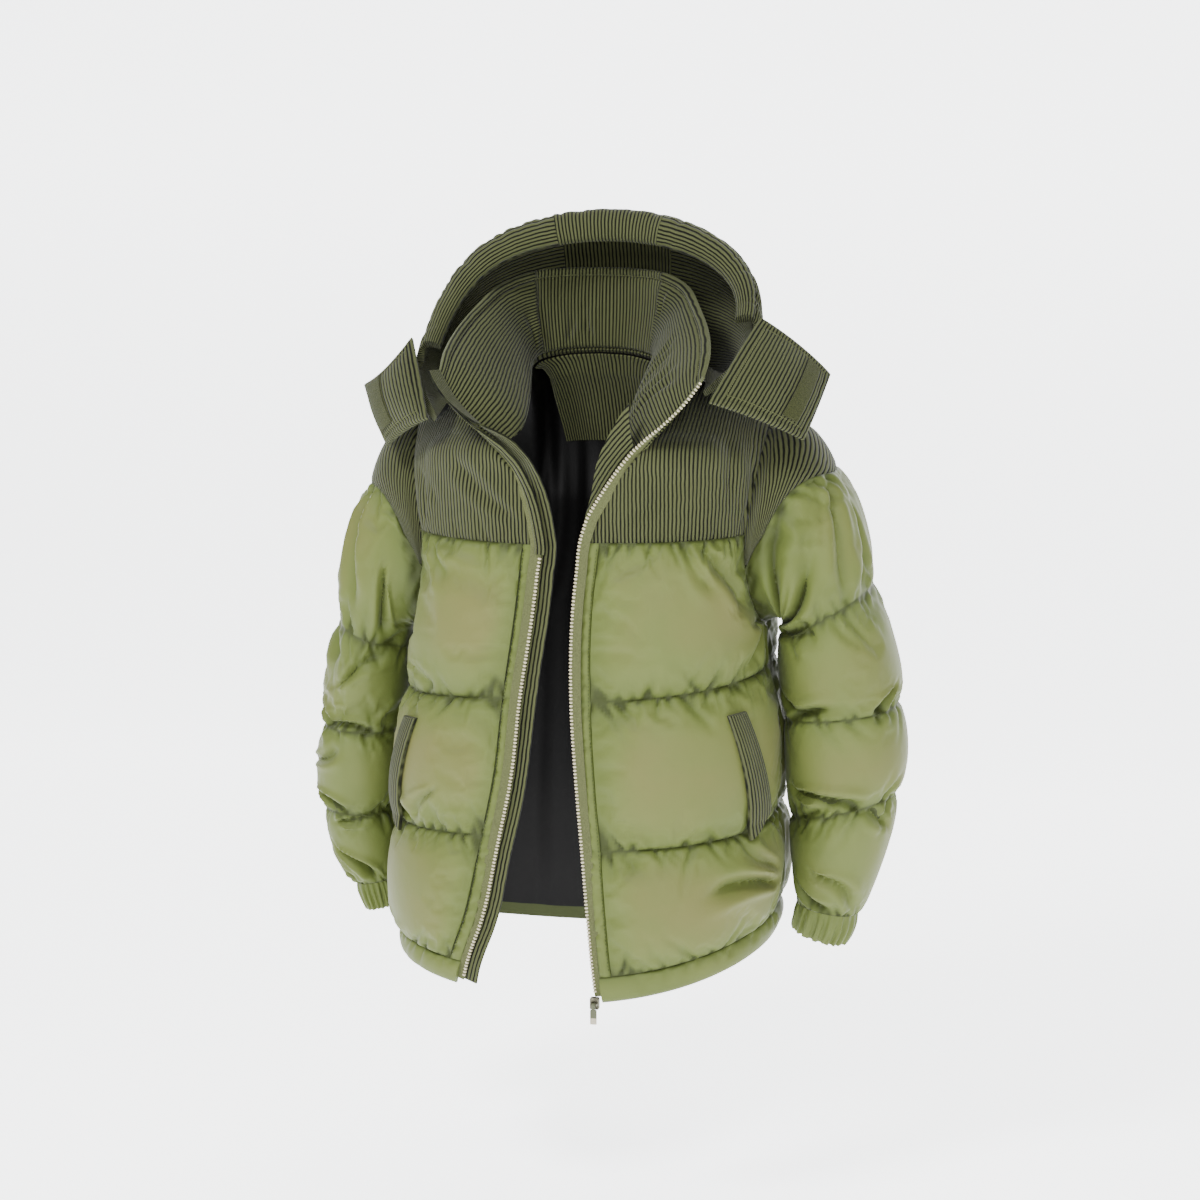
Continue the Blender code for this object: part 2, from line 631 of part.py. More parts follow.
def insert_reach(turns):
    """How far the corduroy insert runs down the sleeve: long over the shoulder, closing at its two points."""
    turns = np.abs(turns)
    upper = 0.20 + 0.34 * np.cos(np.radians(np.minimum(turns, 90))) ** 1.2
    return np.where(turns <= 90, upper, np.where(turns <= INSERT_END, 0.03, 0.0))


SLEEVE_TURNS = np.array([*range(0, 1), *UPPER_ANGLES[1:], *LOWER_ANGLES], float)
SLEEVE_TURNS = np.concatenate([SLEEVE_TURNS, -SLEEVE_TURNS[-2:0:-1]])
INSERT_TURNS = np.array([-INSERT_END, *[-t for t in UPPER_ANGLES[:0:-1]], *UPPER_ANGLES, INSERT_END], float)


def sleeve(side, name):
    starts = insert_reach(SLEEVE_TURNS) + np.where(np.abs(SLEEVE_TURNS) == INSERT_END, 0.03, 0)
    first = np.array([0, 0.1, 0.35, 0.65, 0.88, 1.0])[:, None]
    below = np.array(baffle_rows(1, CUFF_SEAM, (0.2, 0.8, 1.0)))[:, None]
    rows = np.concatenate([starts + (1 - starts) * first, below + 0 * starts])
    part = np.concatenate([np.broadcast_to(first, (len(first), len(starts))), rows[len(first) :] % 1])
    turns = np.broadcast_to(SLEEVE_TURNS, rows.shape)
    points, facing = sleeve_point(side, turns, rows), sleeve_facing(side, turns, rows)
    around = 0.1 + 0.9 * ((1 + np.cos(np.radians(turns))) / 2) ** 0.5
    slow = np.where((rows < 1) & (np.abs(turns) > 85), ease(rows, 0, 0.75), 1)
    puff = SLEEVE_PUFF * swell(part) * around * slow
    wall(name, *skin(pull_in(points, around=True), facing, 0, WALL + puff), "satin", around=True)


def shoulder_insert(side, name):
    shares = np.array([0, 0.15, 0.5, 0.85, 1.0])[:, None]
    rows = insert_reach(INSERT_TURNS) * shares
    turns = np.broadcast_to(INSERT_TURNS, rows.shape)
    puff = YOKE_PUFF * swell(shares) * swell((INSERT_TURNS / INSERT_END + 1) / 2)[None]
    points, facing = sleeve_point(side, turns, rows), sleeve_facing(side, turns, rows)
    wall(name, *skin(pull_in(points), facing, 0, WALL + puff), "corduroy")


def cuff(side, name):
    """A gathered tube: every second line of points stands out, so each pair is one gather."""
    middles = (SLEEVE_TURNS + np.append(SLEEVE_TURNS[1:], 360)) / 2
    middles[len(LOWER_ANGLES) + len(UPPER_ANGLES) - 1] = -171
    middles[-1] = -6
    turns = np.stack([SLEEVE_TURNS, middles], 1).ravel()
    rows = np.broadcast_to(np.array([4.0, 4.25, 4.75, 5.0])[:, None], (4, len(turns)))
    turns = np.broadcast_to(turns, rows.shape)
    points, facing = sleeve_point(side, turns, rows), sleeve_facing(side, turns, rows)
    gather = np.tile([0.0, CUFF_GATHER], turns.shape[1] // 2)[None]
    thickness = 0.002 + gather * ease(rows - CUFF_SEAM, 0.2, 0.3) + 0.001 * swell(rows - CUFF_SEAM)
    wall(name, *skin(pull_in(points, around=True), facing, 0, thickness), "satin", around=True)


# ---- collar, hood and throat flaps ----


def collar_point(marks, heights):
    marks, heights = np.broadcast_arrays(np.asarray(marks, float), np.asarray(heights, float))
    foot = neck_point(marks) + neck_facing(marks) * (WALL + SEAM_GAP * 1.5)
    head = twisted(neck_rows(marks, "top_x", "top_y", "top_z"))
    lean = heights[..., None]
    out = unit(head * (1, 1, 0))
    return foot * (1 - lean) + head * lean + out * 0.007 * np.sin(np.pi * lean)


def collar_grid():
    marks = np.linspace(0, 2 * BACK_MARK, 29)[None]
    heights = np.array([0, 0.1, 0.35, 0.65, 0.9, 1.0])[:, None]
    points = collar_point(marks, heights)
    facing = grid_facing(points, np.array([0, -0.03, 0.05]))
    for corner in (0, 2 * BACK_MARK):
        near = (np.clip(1 - np.abs(marks - corner) / 2, 0, 1) * (1 - heights) ** 2)[..., None]
        facing = unit(facing * (1 - near) + neck_facing(corner) * near)
    return points, facing, marks, heights


def collar():
    points, facing, marks, heights = collar_grid()
    ends = ease(marks / 14, 0.15, 0.07) * ease(1 - marks / 14, 0.15, 0.07)
    thickness = COLLAR_WALL * ease(ends, 0.6, 0.5) + COLLAR_PUFF * swell(heights) * ends
    wall("collar", *skin(points, facing, -thickness, 0), "corduroy")


def hood_grid():
    """Meridians from the rim back, down and forward to the neck, side by side from the wearer's left."""
    turns = np.radians([0, 8, 18, 28, 38, 49, 60, 70, 80, 90, 100, 110, 120, 131, 142, 152, 162, 172, 180])
    rows = np.array([0, 0.08, 0.2, 0.33, HOOD_RIM, 0.8, 1.2, 1.7, 2.3, 3.0, 3.5, 4.0])
    spans = smooth(HOOD["s"], columns(HOOD, "width", "side_y", "back_y", "side_z", "back_z"), rows)
    width, side_y, back_y, side_z, back_z = (spans[:, k : k + 1] for k in range(5))
    lift = np.sin(turns) ** 0.95
    x = width * np.cos(turns) - 0.004 + (HOOD_LEAN + HOOD_TWIST * rows[:, None] / rows[-1]) * lift
    y = side_y + (back_y - side_y) * lift
    z = side_z + (back_z - side_z) * lift - HOOD_DROP * np.clip(-np.cos(turns), 0, 1) ** 8
    return np.stack([x, y, z], -1), rows


def hood():
    points, rows = hood_grid()
    facing = grid_facing(points, np.array([0, 0.06, 0.05]))
    rim = np.where(rows <= HOOD_RIM, swell(rows / HOOD_RIM) * RIM_PUFF, 0)
    body = np.where(rows > HOOD_RIM, swell((rows - HOOD_RIM) / (4 - HOOD_RIM)) * 0.003, 0)
    thickness = (HOOD_WALL + rim + body)[:, None]
    for name, first, last in (("hood_side_left", 0, 7), ("hood_centre", 7, 11), ("hood_side_right", 11, 18)):
        part = slice(first, last + 1)
        wall(name, *skin(pull_in(points[:, part]), facing[:, part], 0, thickness), "corduroy")


def flap_surface(side, across, down):
    """A throat flap's lower face: across runs from its root to its outer end, down from top to front."""
    root_top, root_front, out_front, out_top = (np.array(corner) for corner in FLAP[side])
    u, v = across[..., None], down[..., None]
    v = v + FLAP_NOTCH[side] * np.sin(np.pi * u) * (1 - v) ** 2
    flat = (1 - v) * ((1 - u) * root_top + u * out_top) + v * ((1 - u) * root_front + u * out_front)
    up = unit(np.cross(out_front - root_top, out_top - root_front))
    up *= np.sign(up[2])
    return flat + up * FLAP_BULGE * np.sin(np.pi * u) ** 0.7 * (0.5 + 0.5 * np.sin(np.pi * v)), up


def flap_grid(side, cols, rows):
    across, down = np.meshgrid(cols, rows)
    points, up = flap_surface(side, across, down)
    facing = grid_facing(points, points - up)
    height = FLAP_WALL + FLAP_PUFF * swell(across) * swell(down)
    return points, facing, height


def throat_flap(side, name):
    cols, rows = (0, 0.08, 0.25, 0.45, 0.65, 0.85, 1), (0, 0.1, 0.3, 0.5, 0.7, 0.9, 1)
    points, facing, height = flap_grid(side, cols, rows)
    wall(name, *skin(points, facing, 0, height), "corduroy")


def closure_patch(side, name, cols, rows):
    """Hook tape on a flap, made from the flap's own points moved out."""
    points, facing, height = flap_grid(side, np.linspace(*cols, 4), np.linspace(*rows, 6))
    wall(name, *skin(points, facing, height + 0.0006, height + 0.0022), "hook_tape")


# ---- lining and neck facing ----


def lining_back():
    rows = [0.0, 0.213, 0.47, 0.69, 1.3, 2.0, 2.7, 3.45]
    picks = [0, 2, *range(NECK_FIRST, NECK_LAST + 1, 2), 14, 16]
    starts = [side_angle(1, 1, row) for row in rows]
    ends = [side_angle(-1, 1, row) for row in rows]
    angles, levels = body_grid(starts, ends, np.array(BACK_COLUMNS)[picks], rows)
    points, facing, _, _ = back_yoke_grid()
    upper, upper_facing = points[:0:-2][:, picks], facing[:0:-2][:, picks]
    points = np.concatenate([upper, body_point(angles, levels)])
    facing = np.concatenate([upper_facing, body_facing(angles, levels)])
    points = pull_in(points, gap=0.004)
    wall("lining_back", *skin(points, facing, -LINING_SPACE - LINING_WALL, -LINING_SPACE), "lining")


def lining_front(side, name):
    rows = [0.06, 0.213, 0.47, 0.69, 1.3, 2.0, 2.7, 3.45]
    starts = [edge_angle(side, row, 0.045) for row in rows]
    ends = [side_angle(side, -1, row) for row in rows]
    angles, levels = body_grid(starts, ends, np.linspace(0, 1, 6), rows)
    points = pull_in(body_point(angles, levels), gap=0.004)
    facing = body_facing(angles, levels)
    wall(name, *skin(points, facing, -LINING_SPACE - LINING_WALL, -LINING_SPACE), "lining")


def neck_facing_piece():
    """The corduroy half moon under the back of the collar, inside the lining."""
    points, facing, across, up = back_yoke_grid()
    rise = np.linspace(FACING_FOOT, 0.91, 6)[:, None]
    half = np.interp(rise, [FACING_FOOT, 0.91], [0.100, 0.170])
    shares = 0.5 + half * np.linspace(-1, 1, 11)[None]
    rise = np.broadcast_to(rise, shares.shape)
    place, way = (sample(grid, across, up, shares, rise) for grid in (points, facing))
    wall("neck_facing", *skin(place, unit(way), -0.0155, -0.0135), "corduroy")


def sample(grid, across, up, shares, rises):
    """Reads a grid between its points."""
    j = np.clip(np.searchsorted(across, shares) - 1, 0, len(across) - 2)
    i = np.clip(np.searchsorted(up, rises) - 1, 0, len(up) - 2)
    u = ((shares - across[j]) / (across[j + 1] - across[j]))[..., None]
    v = ((rises - up[i]) / (up[i + 1] - up[i]))[..., None]
    low = grid[i, j] * (1 - u) + grid[i, j + 1] * u
    high = grid[i + 1, j] * (1 - u) + grid[i + 1, j + 1] * u
    return low * (1 - v) + high * v


# ---- strips along the front edges ----


def front_line(side, steps, foot=3.75):
    """Points up a front edge to the collar's top corner, with the ways out of the edge and of the cloth."""
    rows = np.linspace(foot, 0, 22)[:-1]
    angles = np.array([edge_angle(side, row, 0) for row in rows])
    lapel, lapel_facing = lapel_curve(side, 8)
    lapel = lapel + lapel_facing * (EDGE_LIFT * np.linspace(0, 1, len(lapel)) ** 3)[:, None]
    collar_points, collar_facing, _, _ = collar_grid()
    end = 0 if side > 0 else -1
    points = np.concatenate([body_point(angles, rows), lapel, collar_points[1:, end]])
    facing = np.concatenate([body_facing(angles, rows), lapel_facing, collar_facing[1:, end]])
    length = np.append(0, np.cumsum(np.linalg.norm(np.diff(points, axis=0), axis=1)))
    at = np.linspace(0, length[-1], steps + 1)
    line = smooth(length, points, at)
    facing = unit(smooth(length, facing, at))
    tangent = unit(np.gradient(line, axis=0))
    out = unit(np.cross(facing, tangent)) * side
    return line, out, unit(np.cross(tangent, out)) * side, at


def strip(name, line, ways, depth, surface):
    """A flat strip: ways are its points' offsets from the line, and depth is its wall, out of each."""
    offsets, normals = ways
    inner = line[:, None] + offsets
    outer = inner + normals * depth
    wall(name, inner, outer, surface)


def zip_tape(side, name):
    line, out, facing, at = front_line(side, 28)
    depth = np.where(at > at[-1] - COLLAR_EDGE, -0.0034, 0.0008)
    depth = np.convolve(np.pad(depth, 1, mode="edge"), np.ones(3) / 3, mode="valid")[:, None, None]
    offsets = out[:, None] * np.array([0.0015, TAPE_WIDTH])[None, :, None] + facing[:, None] * depth
    strip(name, line, (offsets, facing[:, None]), TAPE_WALL, "tape")


def wind_flap(name):
    """Corduroy guard behind the right zip, which shows past it."""
    line, out, facing, at = front_line(-1, 28)
    below = at[-1] - COLLAR_EDGE - at
    start = np.interp(below, [0.03, 0.07], [0.005, -0.008])
    drop = np.interp(below, [-0.01, 0.05], [-0.0085, -0.0036])
    across = start[:, None] + (FLAP_REACH - start[:, None]) * np.array([0, 0.4, 0.7, 1.0])
    offsets = out[:, None] * across[..., None] + facing[:, None] * drop[:, None, None]
    strip(name, line, (offsets, facing[:, None]), 0.0022, "corduroy")


def front_facing(side, name):
    """Corduroy inside the edge under the collar, which shows where the lapel rolls open."""
    line, out, facing, at = front_line(side, 60)
    below = at[-1] - COLLAR_EDGE - at
    keep = (below > 0.003) & (below < 0.115)
    line, out, facing, below = line[keep], out[keep], facing[keep], below[keep]
    reach = smooth([0, 0.035, 0.07, 0.115], [0.030, 0.021, 0.010, 0.004], below)[:, None, None]
    depth = smooth([0, 0.035, 0.07, 0.115], [0.026, 0.012, 0.006, 0.002], below)[:, None, None]
    share = np.array([0, 0.35, 0.7, 1.0])[None, :, None]
    offsets = out[:, None] * (0.0012 + reach * share) - facing[:, None] * (0.0036 + depth * share**1.3)
    normal = unit(out[:, None] * depth + facing[:, None] * reach)
    strip(name, line, (offsets, -normal), 0.0018, "corduroy")


# ---- pocket welts ----


def pocket_welt(side, name):
    """A padded strip along the slanted pocket mouth, made from the front panel's points moved out."""
    down = np.linspace(1.17, 1.97, 9)
    middle = smooth([1.17, 1.5, 1.97], [51.0, 57.0, 64.5], down)
    shares = np.linspace(-1, 1, 5)
    angles = middle[:, None] + 4.6 * shares[None]
    rows = np.broadcast_to(down[:, None], angles.shape)
    around = np.array([[on_side(side, a) for a in row] for row in angles])
    points, facing = body_point(around, rows), body_facing(around, rows)
    base = WALL + SHELL_PUFF * np.maximum(swell(rows % 1), 0.45) + 0.0012
    crown = 0.0035 + 0.003 * swell((shares + 1) / 2)[None]
    wall(name, *skin(points, facing, base, base + crown), "corduroy")


# ---- zip slider and pull tab ----


def box(size, centre, bevel):
    shape = bmesh.new()
    bmesh.ops.create_cube(shape, size=1.0, matrix=Matrix.Translation(centre) @ Matrix.Diagonal((*size, 1)))
    bmesh.ops.bevel(shape, geom=shape.edges[:], offset=bevel, segments=1, affect="EDGES")
    return shape


def rod(radius, length, centre, sides=12):
    shape = bmesh.new()
    turn = Matrix.Translation(centre) @ Matrix.Rotation(np.pi / 2, 4, "Y")
    bmesh.ops.create_cone(
        shape, cap_ends=True, segments=sides, radius1=radius, radius2=radius, depth=length, matrix=turn
    )
    return shape


def joined(name, shapes, surface, cuts=()):
    """Unions the shapes, then cuts the others away."""
    objects = []
    for shape in (*shapes, *cuts):
        mesh = bpy.data.meshes.new(name)
        shape.to_mesh(mesh)
        shape.free()
        objects.append(bpy.data.objects.new(name, mesh))
        bpy.context.scene.collection.objects.link(objects[-1])
    body = objects[0]
    for k, other in enumerate(objects[1:], 1):
        tool = body.modifiers.new("fit", "BOOLEAN")
        tool.object = other
        tool.operation = "UNION" if k < len(shapes) else "DIFFERENCE"
    graph = bpy.context.evaluated_depsgraph_get()
    mesh = bpy.data.meshes.new_from_object(body.evaluated_get(graph))
    for made in objects:
        bpy.data.objects.remove(made, do_unlink=True)
    return add_object(name, mesh, surface)


PIN_RADIUS = 0.0008
PIN_ROOM = 0.0004  # all round the pin, inside the pull's eye
PULL_LENGTH = 0.022
PULL_WIDTH = 0.0074
PULL_NECK = 0.005  # from the pin to the wide tab
PULL_EYE = 0.0024
SLIDER_SIZE = (0.0105, 0.0070, 0.0135)


def pin_centre():
    """The pull's hinge, over the slider at the foot of the left zip."""
    line, out, facing, _ = front_line(1, 36)
    foot = line[0] + out[0] * TAPE_WIDTH
    return Vector((float(foot[0]), float(foot[1]) - 0.0098, float(foot[2]) - 0.0075))


def slider():
    pin = pin_centre()
    body = pin + Vector((0, 0.0072, -0.0001))
    shapes = [box(SLIDER_SIZE, body, 0.0012)]
    for side in (-1, 1):
        shapes.append(box((0.0014, 0.0056, 0.0034), pin + Vector((side * 0.0033, 0.0017, 0)), 0.0003))
    shapes.append(rod(PIN_RADIUS, 0.0066, pin))
    joined("zip_slider", shapes, "slider_metal")


def pull():
    pin = pin_centre()
    at_pin = Vector((0, 0, 0))
    tab = PULL_LENGTH - PULL_NECK
    shapes = [rod(PULL_EYE, 0.0040, at_pin)]
    shapes.append(box((0.0040, 0.0018, 0.0060), Vector((0, 0, -0.0040)), 0.0003))
    shapes.append(box((PULL_WIDTH, 0.0022, tab), Vector((0, 0, -PULL_NECK - 0.0005 - tab / 2)), 0.0007))
    bore = rod(PIN_RADIUS + PIN_ROOM, 0.02, at_pin)
    made = joined("zip_pull", shapes, "pull_metal", [bore])
    made.location = pin


# ---- the jacket ----


def clear_scene():
    for thing in list(bpy.data.objects):
        bpy.data.objects.remove(thing, do_unlink=True)


def build():
    clear_scene()
    for side, word in ((1, "left"), (-1, "right")):
        front_panel(side, f"front_{word}")
        placket(side, f"placket_{word}")
        front_yoke(side, f"yoke_front_{word}")
        sleeve(side, f"sleeve_{word}")
        shoulder_insert(side, f"shoulder_insert_{word}")
        cuff(side, f"cuff_{word}")
        throat_flap(side, f"hood_flap_{word}")
        lining_front(side, f"lining_front_{word}")
        zip_tape(side, f"zip_tape_{word}")
        pocket_welt(side, f"pocket_welt_{word}")
    back_panel()
    back_yoke()
    hem_bands()
    collar()
    hood()
    lining_back()
    neck_facing_piece()
    wind_flap("wind_flap_right")
    front_facing(1, "facing_left")
    closure_patch(1, "closure_left", (0.76, 0.92), (0.12, 0.88))
    closure_patch(-1, "closure_right", (0.55, 0.90), (0.10, 0.85))
    slider()
    pull()


build()
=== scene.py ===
"""Hooded puffer jacket, worn open in the hollow pose that a wearer gives it: its looks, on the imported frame.

Metres, +Z up. The wearer faces -Y and their left is +X.
"""

from functools import lru_cache

import bpy
import numpy as np
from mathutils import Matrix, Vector


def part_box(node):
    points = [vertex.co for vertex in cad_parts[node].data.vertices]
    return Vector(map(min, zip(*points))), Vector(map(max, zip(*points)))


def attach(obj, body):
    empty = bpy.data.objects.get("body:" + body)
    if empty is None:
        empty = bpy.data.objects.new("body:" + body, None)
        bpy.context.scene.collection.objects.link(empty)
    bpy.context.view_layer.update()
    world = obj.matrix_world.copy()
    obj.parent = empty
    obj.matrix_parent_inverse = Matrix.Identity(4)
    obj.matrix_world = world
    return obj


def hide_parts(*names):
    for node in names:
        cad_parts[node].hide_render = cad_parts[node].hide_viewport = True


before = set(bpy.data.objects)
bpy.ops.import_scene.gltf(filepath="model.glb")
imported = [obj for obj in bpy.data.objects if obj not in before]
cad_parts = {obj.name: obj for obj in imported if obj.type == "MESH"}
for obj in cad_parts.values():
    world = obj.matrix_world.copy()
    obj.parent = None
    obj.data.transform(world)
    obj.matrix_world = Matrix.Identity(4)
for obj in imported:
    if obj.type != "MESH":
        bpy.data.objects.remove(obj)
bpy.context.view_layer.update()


def placed(name, data, location=(0, 0, 0)):
    """A new object in the scene."""
    thing = bpy.data.objects.new(name, data)
    thing.location = location
    bpy.context.scene.collection.objects.link(thing)
    return thing


def set_inputs(shader, **values):
    """Sets a shader node's own values; an underscore in a name stands for a space."""
    for socket, value in values.items():
        shader.inputs[socket.replace("_", " ")].default_value = value


# ---- the studio: a pale sweep, large soft lamps and the camera ----
# The jacket hangs over a plain pale floor that rises behind it without an edge. The strongest lamp stands in
# front, above and to the left; weaker ones fill in from the right, from above and from the front.


VIEW_AZIMUTH, VIEW_ELEVATION, VIEW_DISTANCE = np.radians(12.0), np.radians(10.0), 2.9
VIEW_TARGET = Vector((0.0036, 0.0, -0.255))
PICTURE_WIDTH = 1.38  # metres across the picture at the target
SENSOR_WIDTH = 36  # millimetres
LAMP_TARGET = Vector((0, 0, -0.25))

back_way = Vector(
    (
        np.sin(VIEW_AZIMUTH) * np.cos(VIEW_ELEVATION),
        -np.cos(VIEW_AZIMUTH) * np.cos(VIEW_ELEVATION),
        np.sin(VIEW_ELEVATION),
    )
)
camera_data = bpy.data.cameras.new("camera")
camera_data.sensor_width = SENSOR_WIDTH
camera_data.lens = SENSOR_WIDTH * VIEW_DISTANCE / PICTURE_WIDTH
camera = placed("camera", camera_data, VIEW_TARGET + back_way * VIEW_DISTANCE)
camera.rotation_euler = back_way.to_track_quat("Z", "Y").to_euler()
bpy.context.scene.camera = camera


def soft_lamp(name, place, size, power):
    data = bpy.data.lights.new(name, "AREA")
    data.shape = "DISK"
    data.size = size
    data.energy = power
    lamp = placed(name, data, place)
    lamp.rotation_euler = (Vector(place) - LAMP_TARGET).to_track_quat("Z", "Y").to_euler()


soft_lamp("key_lamp", (-1.2, -1.9, 2.1), 0.8, 120)
soft_lamp("fill_lamp", (2.3, -1.9, 0.8), 1.6, 22)
soft_lamp("top_lamp", (0.3, 0.3, 2.4), 1.4, 30)
soft_lamp("front_lamp", (0.5, -2.9, 0.5), 1.2, 70)

world = bpy.data.worlds.new("studio")
world.use_nodes = True
set_inputs(world.node_tree.nodes["Background"], Color=(0.93, 0.94, 0.95, 1), Strength=0.5)
bpy.context.scene.world = world

FLOOR_LEVEL, FLOOR_REACH, FLOOR_HALF_WIDTH = -0.95, 5.0, 7.0
SWEEP_FOOT, SWEEP_RADIUS = 1.9, 1.2
sweep_line = [(-FLOOR_REACH, 0.0), (SWEEP_FOOT, 0.0)]
for turn in np.linspace(0.1, np.pi / 2, 12):
    sweep_line.append((SWEEP_FOOT + SWEEP_RADIUS * np.sin(turn), SWEEP_RADIUS - SWEEP_RADIUS * np.cos(turn)))
sweep_line.append((SWEEP_FOOT + SWEEP_RADIUS, FLOOR_REACH))
sweep_points = [(x, y, FLOOR_LEVEL + z) for y, z in sweep_line for x in (-FLOOR_HALF_WIDTH, FLOOR_HALF_WIDTH)]
sweep_faces = [(2 * k, 2 * k + 1, 2 * k + 3, 2 * k + 2) for k in range(len(sweep_line) - 1)]
sweep_mesh = bpy.data.meshes.new("sweep")
sweep_mesh.from_pydata(sweep_points, [], sweep_faces)
sweep_mesh.shade_smooth()
sweep = placed("sweep", sweep_mesh)
paper = bpy.data.materials.new("paper")
paper.use_nodes = True
set_inputs(
    paper.node_tree.nodes["Principled BSDF"],
    Base_Color=(0.86, 0.865, 0.87, 1),
    Roughness=0.9,
    Emission_Color=(0.98, 0.99, 1.0, 1),
    Emission_Strength=2.7,
)
sweep_mesh.materials.append(paper)


# ---- satin shell: left and right fronts, back ----
# Light olive satin-faced cloth over padding. Each front and the back is one panel, quilted across by two
# seams into three baffles; the thread draws the cloth in, so short puckers run off each seam.


WALL = 0.003
THINNEST = 0.0012  # of a padded piece, at the foot of a pucker
SHELL_PUFF = 0.019
PLACKET_WIDTH = 0.014
RING_POWER = 2.8  # how square the body's rings are: 2 is an ellipse
PIT_ROW = 0.69  # the armpit's place between the yoke seam, row 0, and the first quilting seam, row 1
ARMHOLE_DEPTH = 0.085
SHOULDER_TIP = (0.200, 0.0, -0.047)
SEAM_HALF = 0.00012  # half of the gap between two sewn pieces


def table(names, *rows):
    """Named columns from rows of numbers."""
    return dict(zip(names.split(), np.array(rows, float).T))


BODY = table(
    "z width front back middle",
    (-0.700, 0.212, 0.157, 0.150, -0.005),
    (-0.650, 0.215, 0.161, 0.153, -0.006),
    (-0.580, 0.216, 0.159, 0.153, -0.006),
    (-0.500, 0.213, 0.156, 0.149, -0.005),
    (-0.420, 0.208, 0.153, 0.144, -0.003),
    (-0.340, 0.204, 0.151, 0.138, -0.002),
    (-0.260, 0.194, 0.149, 0.131, -0.001),
    (-0.150, 0.200, 0.147, 0.122, 0.000),
)
# Heights of the yoke seam, the two quilting seams, the hem seam and the hem at each of the seam angles.
SEAM_ANGLES = (0, 90, 180, 270, 360)
BODY_SEAMS = np.array(
    [
        (-0.166, -0.158, -0.152, -0.163, -0.170),
        (-0.342, -0.318, -0.335, -0.352, -0.340),
        (-0.510, -0.490, -0.505, -0.507, -0.497),
        (-0.656, -0.604, -0.655, -0.634, -0.654),
        (-0.686, -0.630, -0.684, -0.660, -0.683),
    ]
)
FRONT_EDGE = {
    1: table(
        "z x",
        (-0.700, 0.043),
        (-0.650, 0.037),
        (-0.589, 0.031),
        (-0.507, 0.024),
        (-0.425, 0.017),
        (-0.340, 0.012),
        (-0.250, 0.013),
        (-0.166, 0.021),
    ),
    -1: table(
        "z x",
        (-0.700, -0.136),
        (-0.644, -0.123),
        (-0.593, -0.105),
        (-0.511, -0.087),
        (-0.428, -0.070),
        (-0.342, -0.060),
        (-0.249, -0.046),
        (-0.170, -0.037),
    ),
}


def smooth(places, values, at):
    """A smooth curve through the values, whose places rise."""
    places, values = np.asarray(places, float), np.asarray(values, float)
    at = np.clip(np.asarray(at, float), places[0], places[-1])
    slopes = np.gradient(values, places, axis=0)
    k = np.clip(np.searchsorted(places, at, side="right") - 1, 0, len(places) - 2)
    step = places[k + 1] - places[k]
    t = (at - places[k]) / step
    if values.ndim > 1:
        t, step = t[..., None], step[..., None]
    rise = values[k] * (2 * t**3 - 3 * t**2 + 1) + values[k + 1] * (3 * t**2 - 2 * t**3)
    return rise + step * (slopes[k] * (t**3 - 2 * t**2 + t) + slopes[k + 1] * (t**3 - t**2))


def columns(rows, *names):
    """Some of a table's columns, side by side."""
    return np.stack([rows[name] for name in names], -1)


def unit(vectors):
    return vectors / np.maximum(np.linalg.norm(vectors, axis=-1, keepdims=True), 1e-12)


def power(value, exponent):
    """A power that keeps the sign."""
    return np.sign(value) * np.abs(value) ** exponent


def swell(share, fullness=0.55):
    """0 at both ends of a baffle and 1 along its middle, steep at the seams like a filled cushion."""
    share = np.clip(share, 0, 1)
    return (4 * share * (1 - share)) ** fullness


def ease(share, least, reach):
    """Rises from the least value to 1 over the reach."""
    return least + (1 - least) * np.sin(np.pi / 2 * np.clip(share / reach, 0, 1))


def seam_height(angle, row):
    """The height of a row round the body: whole rows are seams, and others lie between them."""
    heights = np.array([smooth(SEAM_ANGLES, z, angle) for z in BODY_SEAMS])
    below = np.clip(np.floor(row), 0, len(BODY_SEAMS) - 2).astype(int)
    part = row - below
    upper = np.take_along_axis(heights, below[None], 0)[0]
    lower = np.take_along_axis(heights, below[None] + 1, 0)[0]
    return upper * (1 - part) + lower * part


def body_point(angle, row):
    """A point of the body's inner surface. Angle 0 is the centre front and 90 the wearer's left side."""
    angle, row = np.broadcast_arrays(np.asarray(angle, float), np.asarray(row, float))
    z = seam_height(angle, row)
    width, front, back, middle = (smooth(BODY["z"], BODY[c], z) for c in ("width", "front", "back", "middle"))
    across, along = np.sin(np.radians(angle)), np.cos(np.radians(angle))
    x = middle + width * power(across, 2 / RING_POWER)
    y = -np.where(along > 0, front, back) * power(along, 2 / RING_POWER)
    return np.stack([x, y, z], -1)


ANGLE_STEP, ROW_STEP = 0.4, 0.02


def body_facing(angle, row):
    """The way out of the body's surface."""
    angle, row = np.asarray(angle), np.asarray(row)
    around = body_point(angle + ANGLE_STEP, row) - body_point(angle - ANGLE_STEP, row)
    down = body_point(angle, row + ROW_STEP) - body_point(angle, row - ROW_STEP)
    return unit(np.cross(down, around))


def on_side(side, angle):
    """An angle of the left side, mirrored where the side is -1."""
    return angle if side > 0 else 360 - angle


@lru_cache(maxsize=None)
def edge_angle(side, row, inset):
    """The angle at which the front edge, moved back by the inset, crosses a row."""
    angle = on_side(side, 5.0)
    for _ in range(4):
        z = seam_height(np.asarray(angle), np.asarray(row, float))
        x = smooth(FRONT_EDGE[side]["z"], FRONT_EDGE[side]["x"], z) + side * inset
        reach = side * (x - smooth(BODY["z"], BODY["middle"], z)) / smooth(BODY["z"], BODY["width"], z)
        angle = on_side(side, np.degrees(np.arcsin(reach ** (RING_POWER / 2))))
    return float(angle)


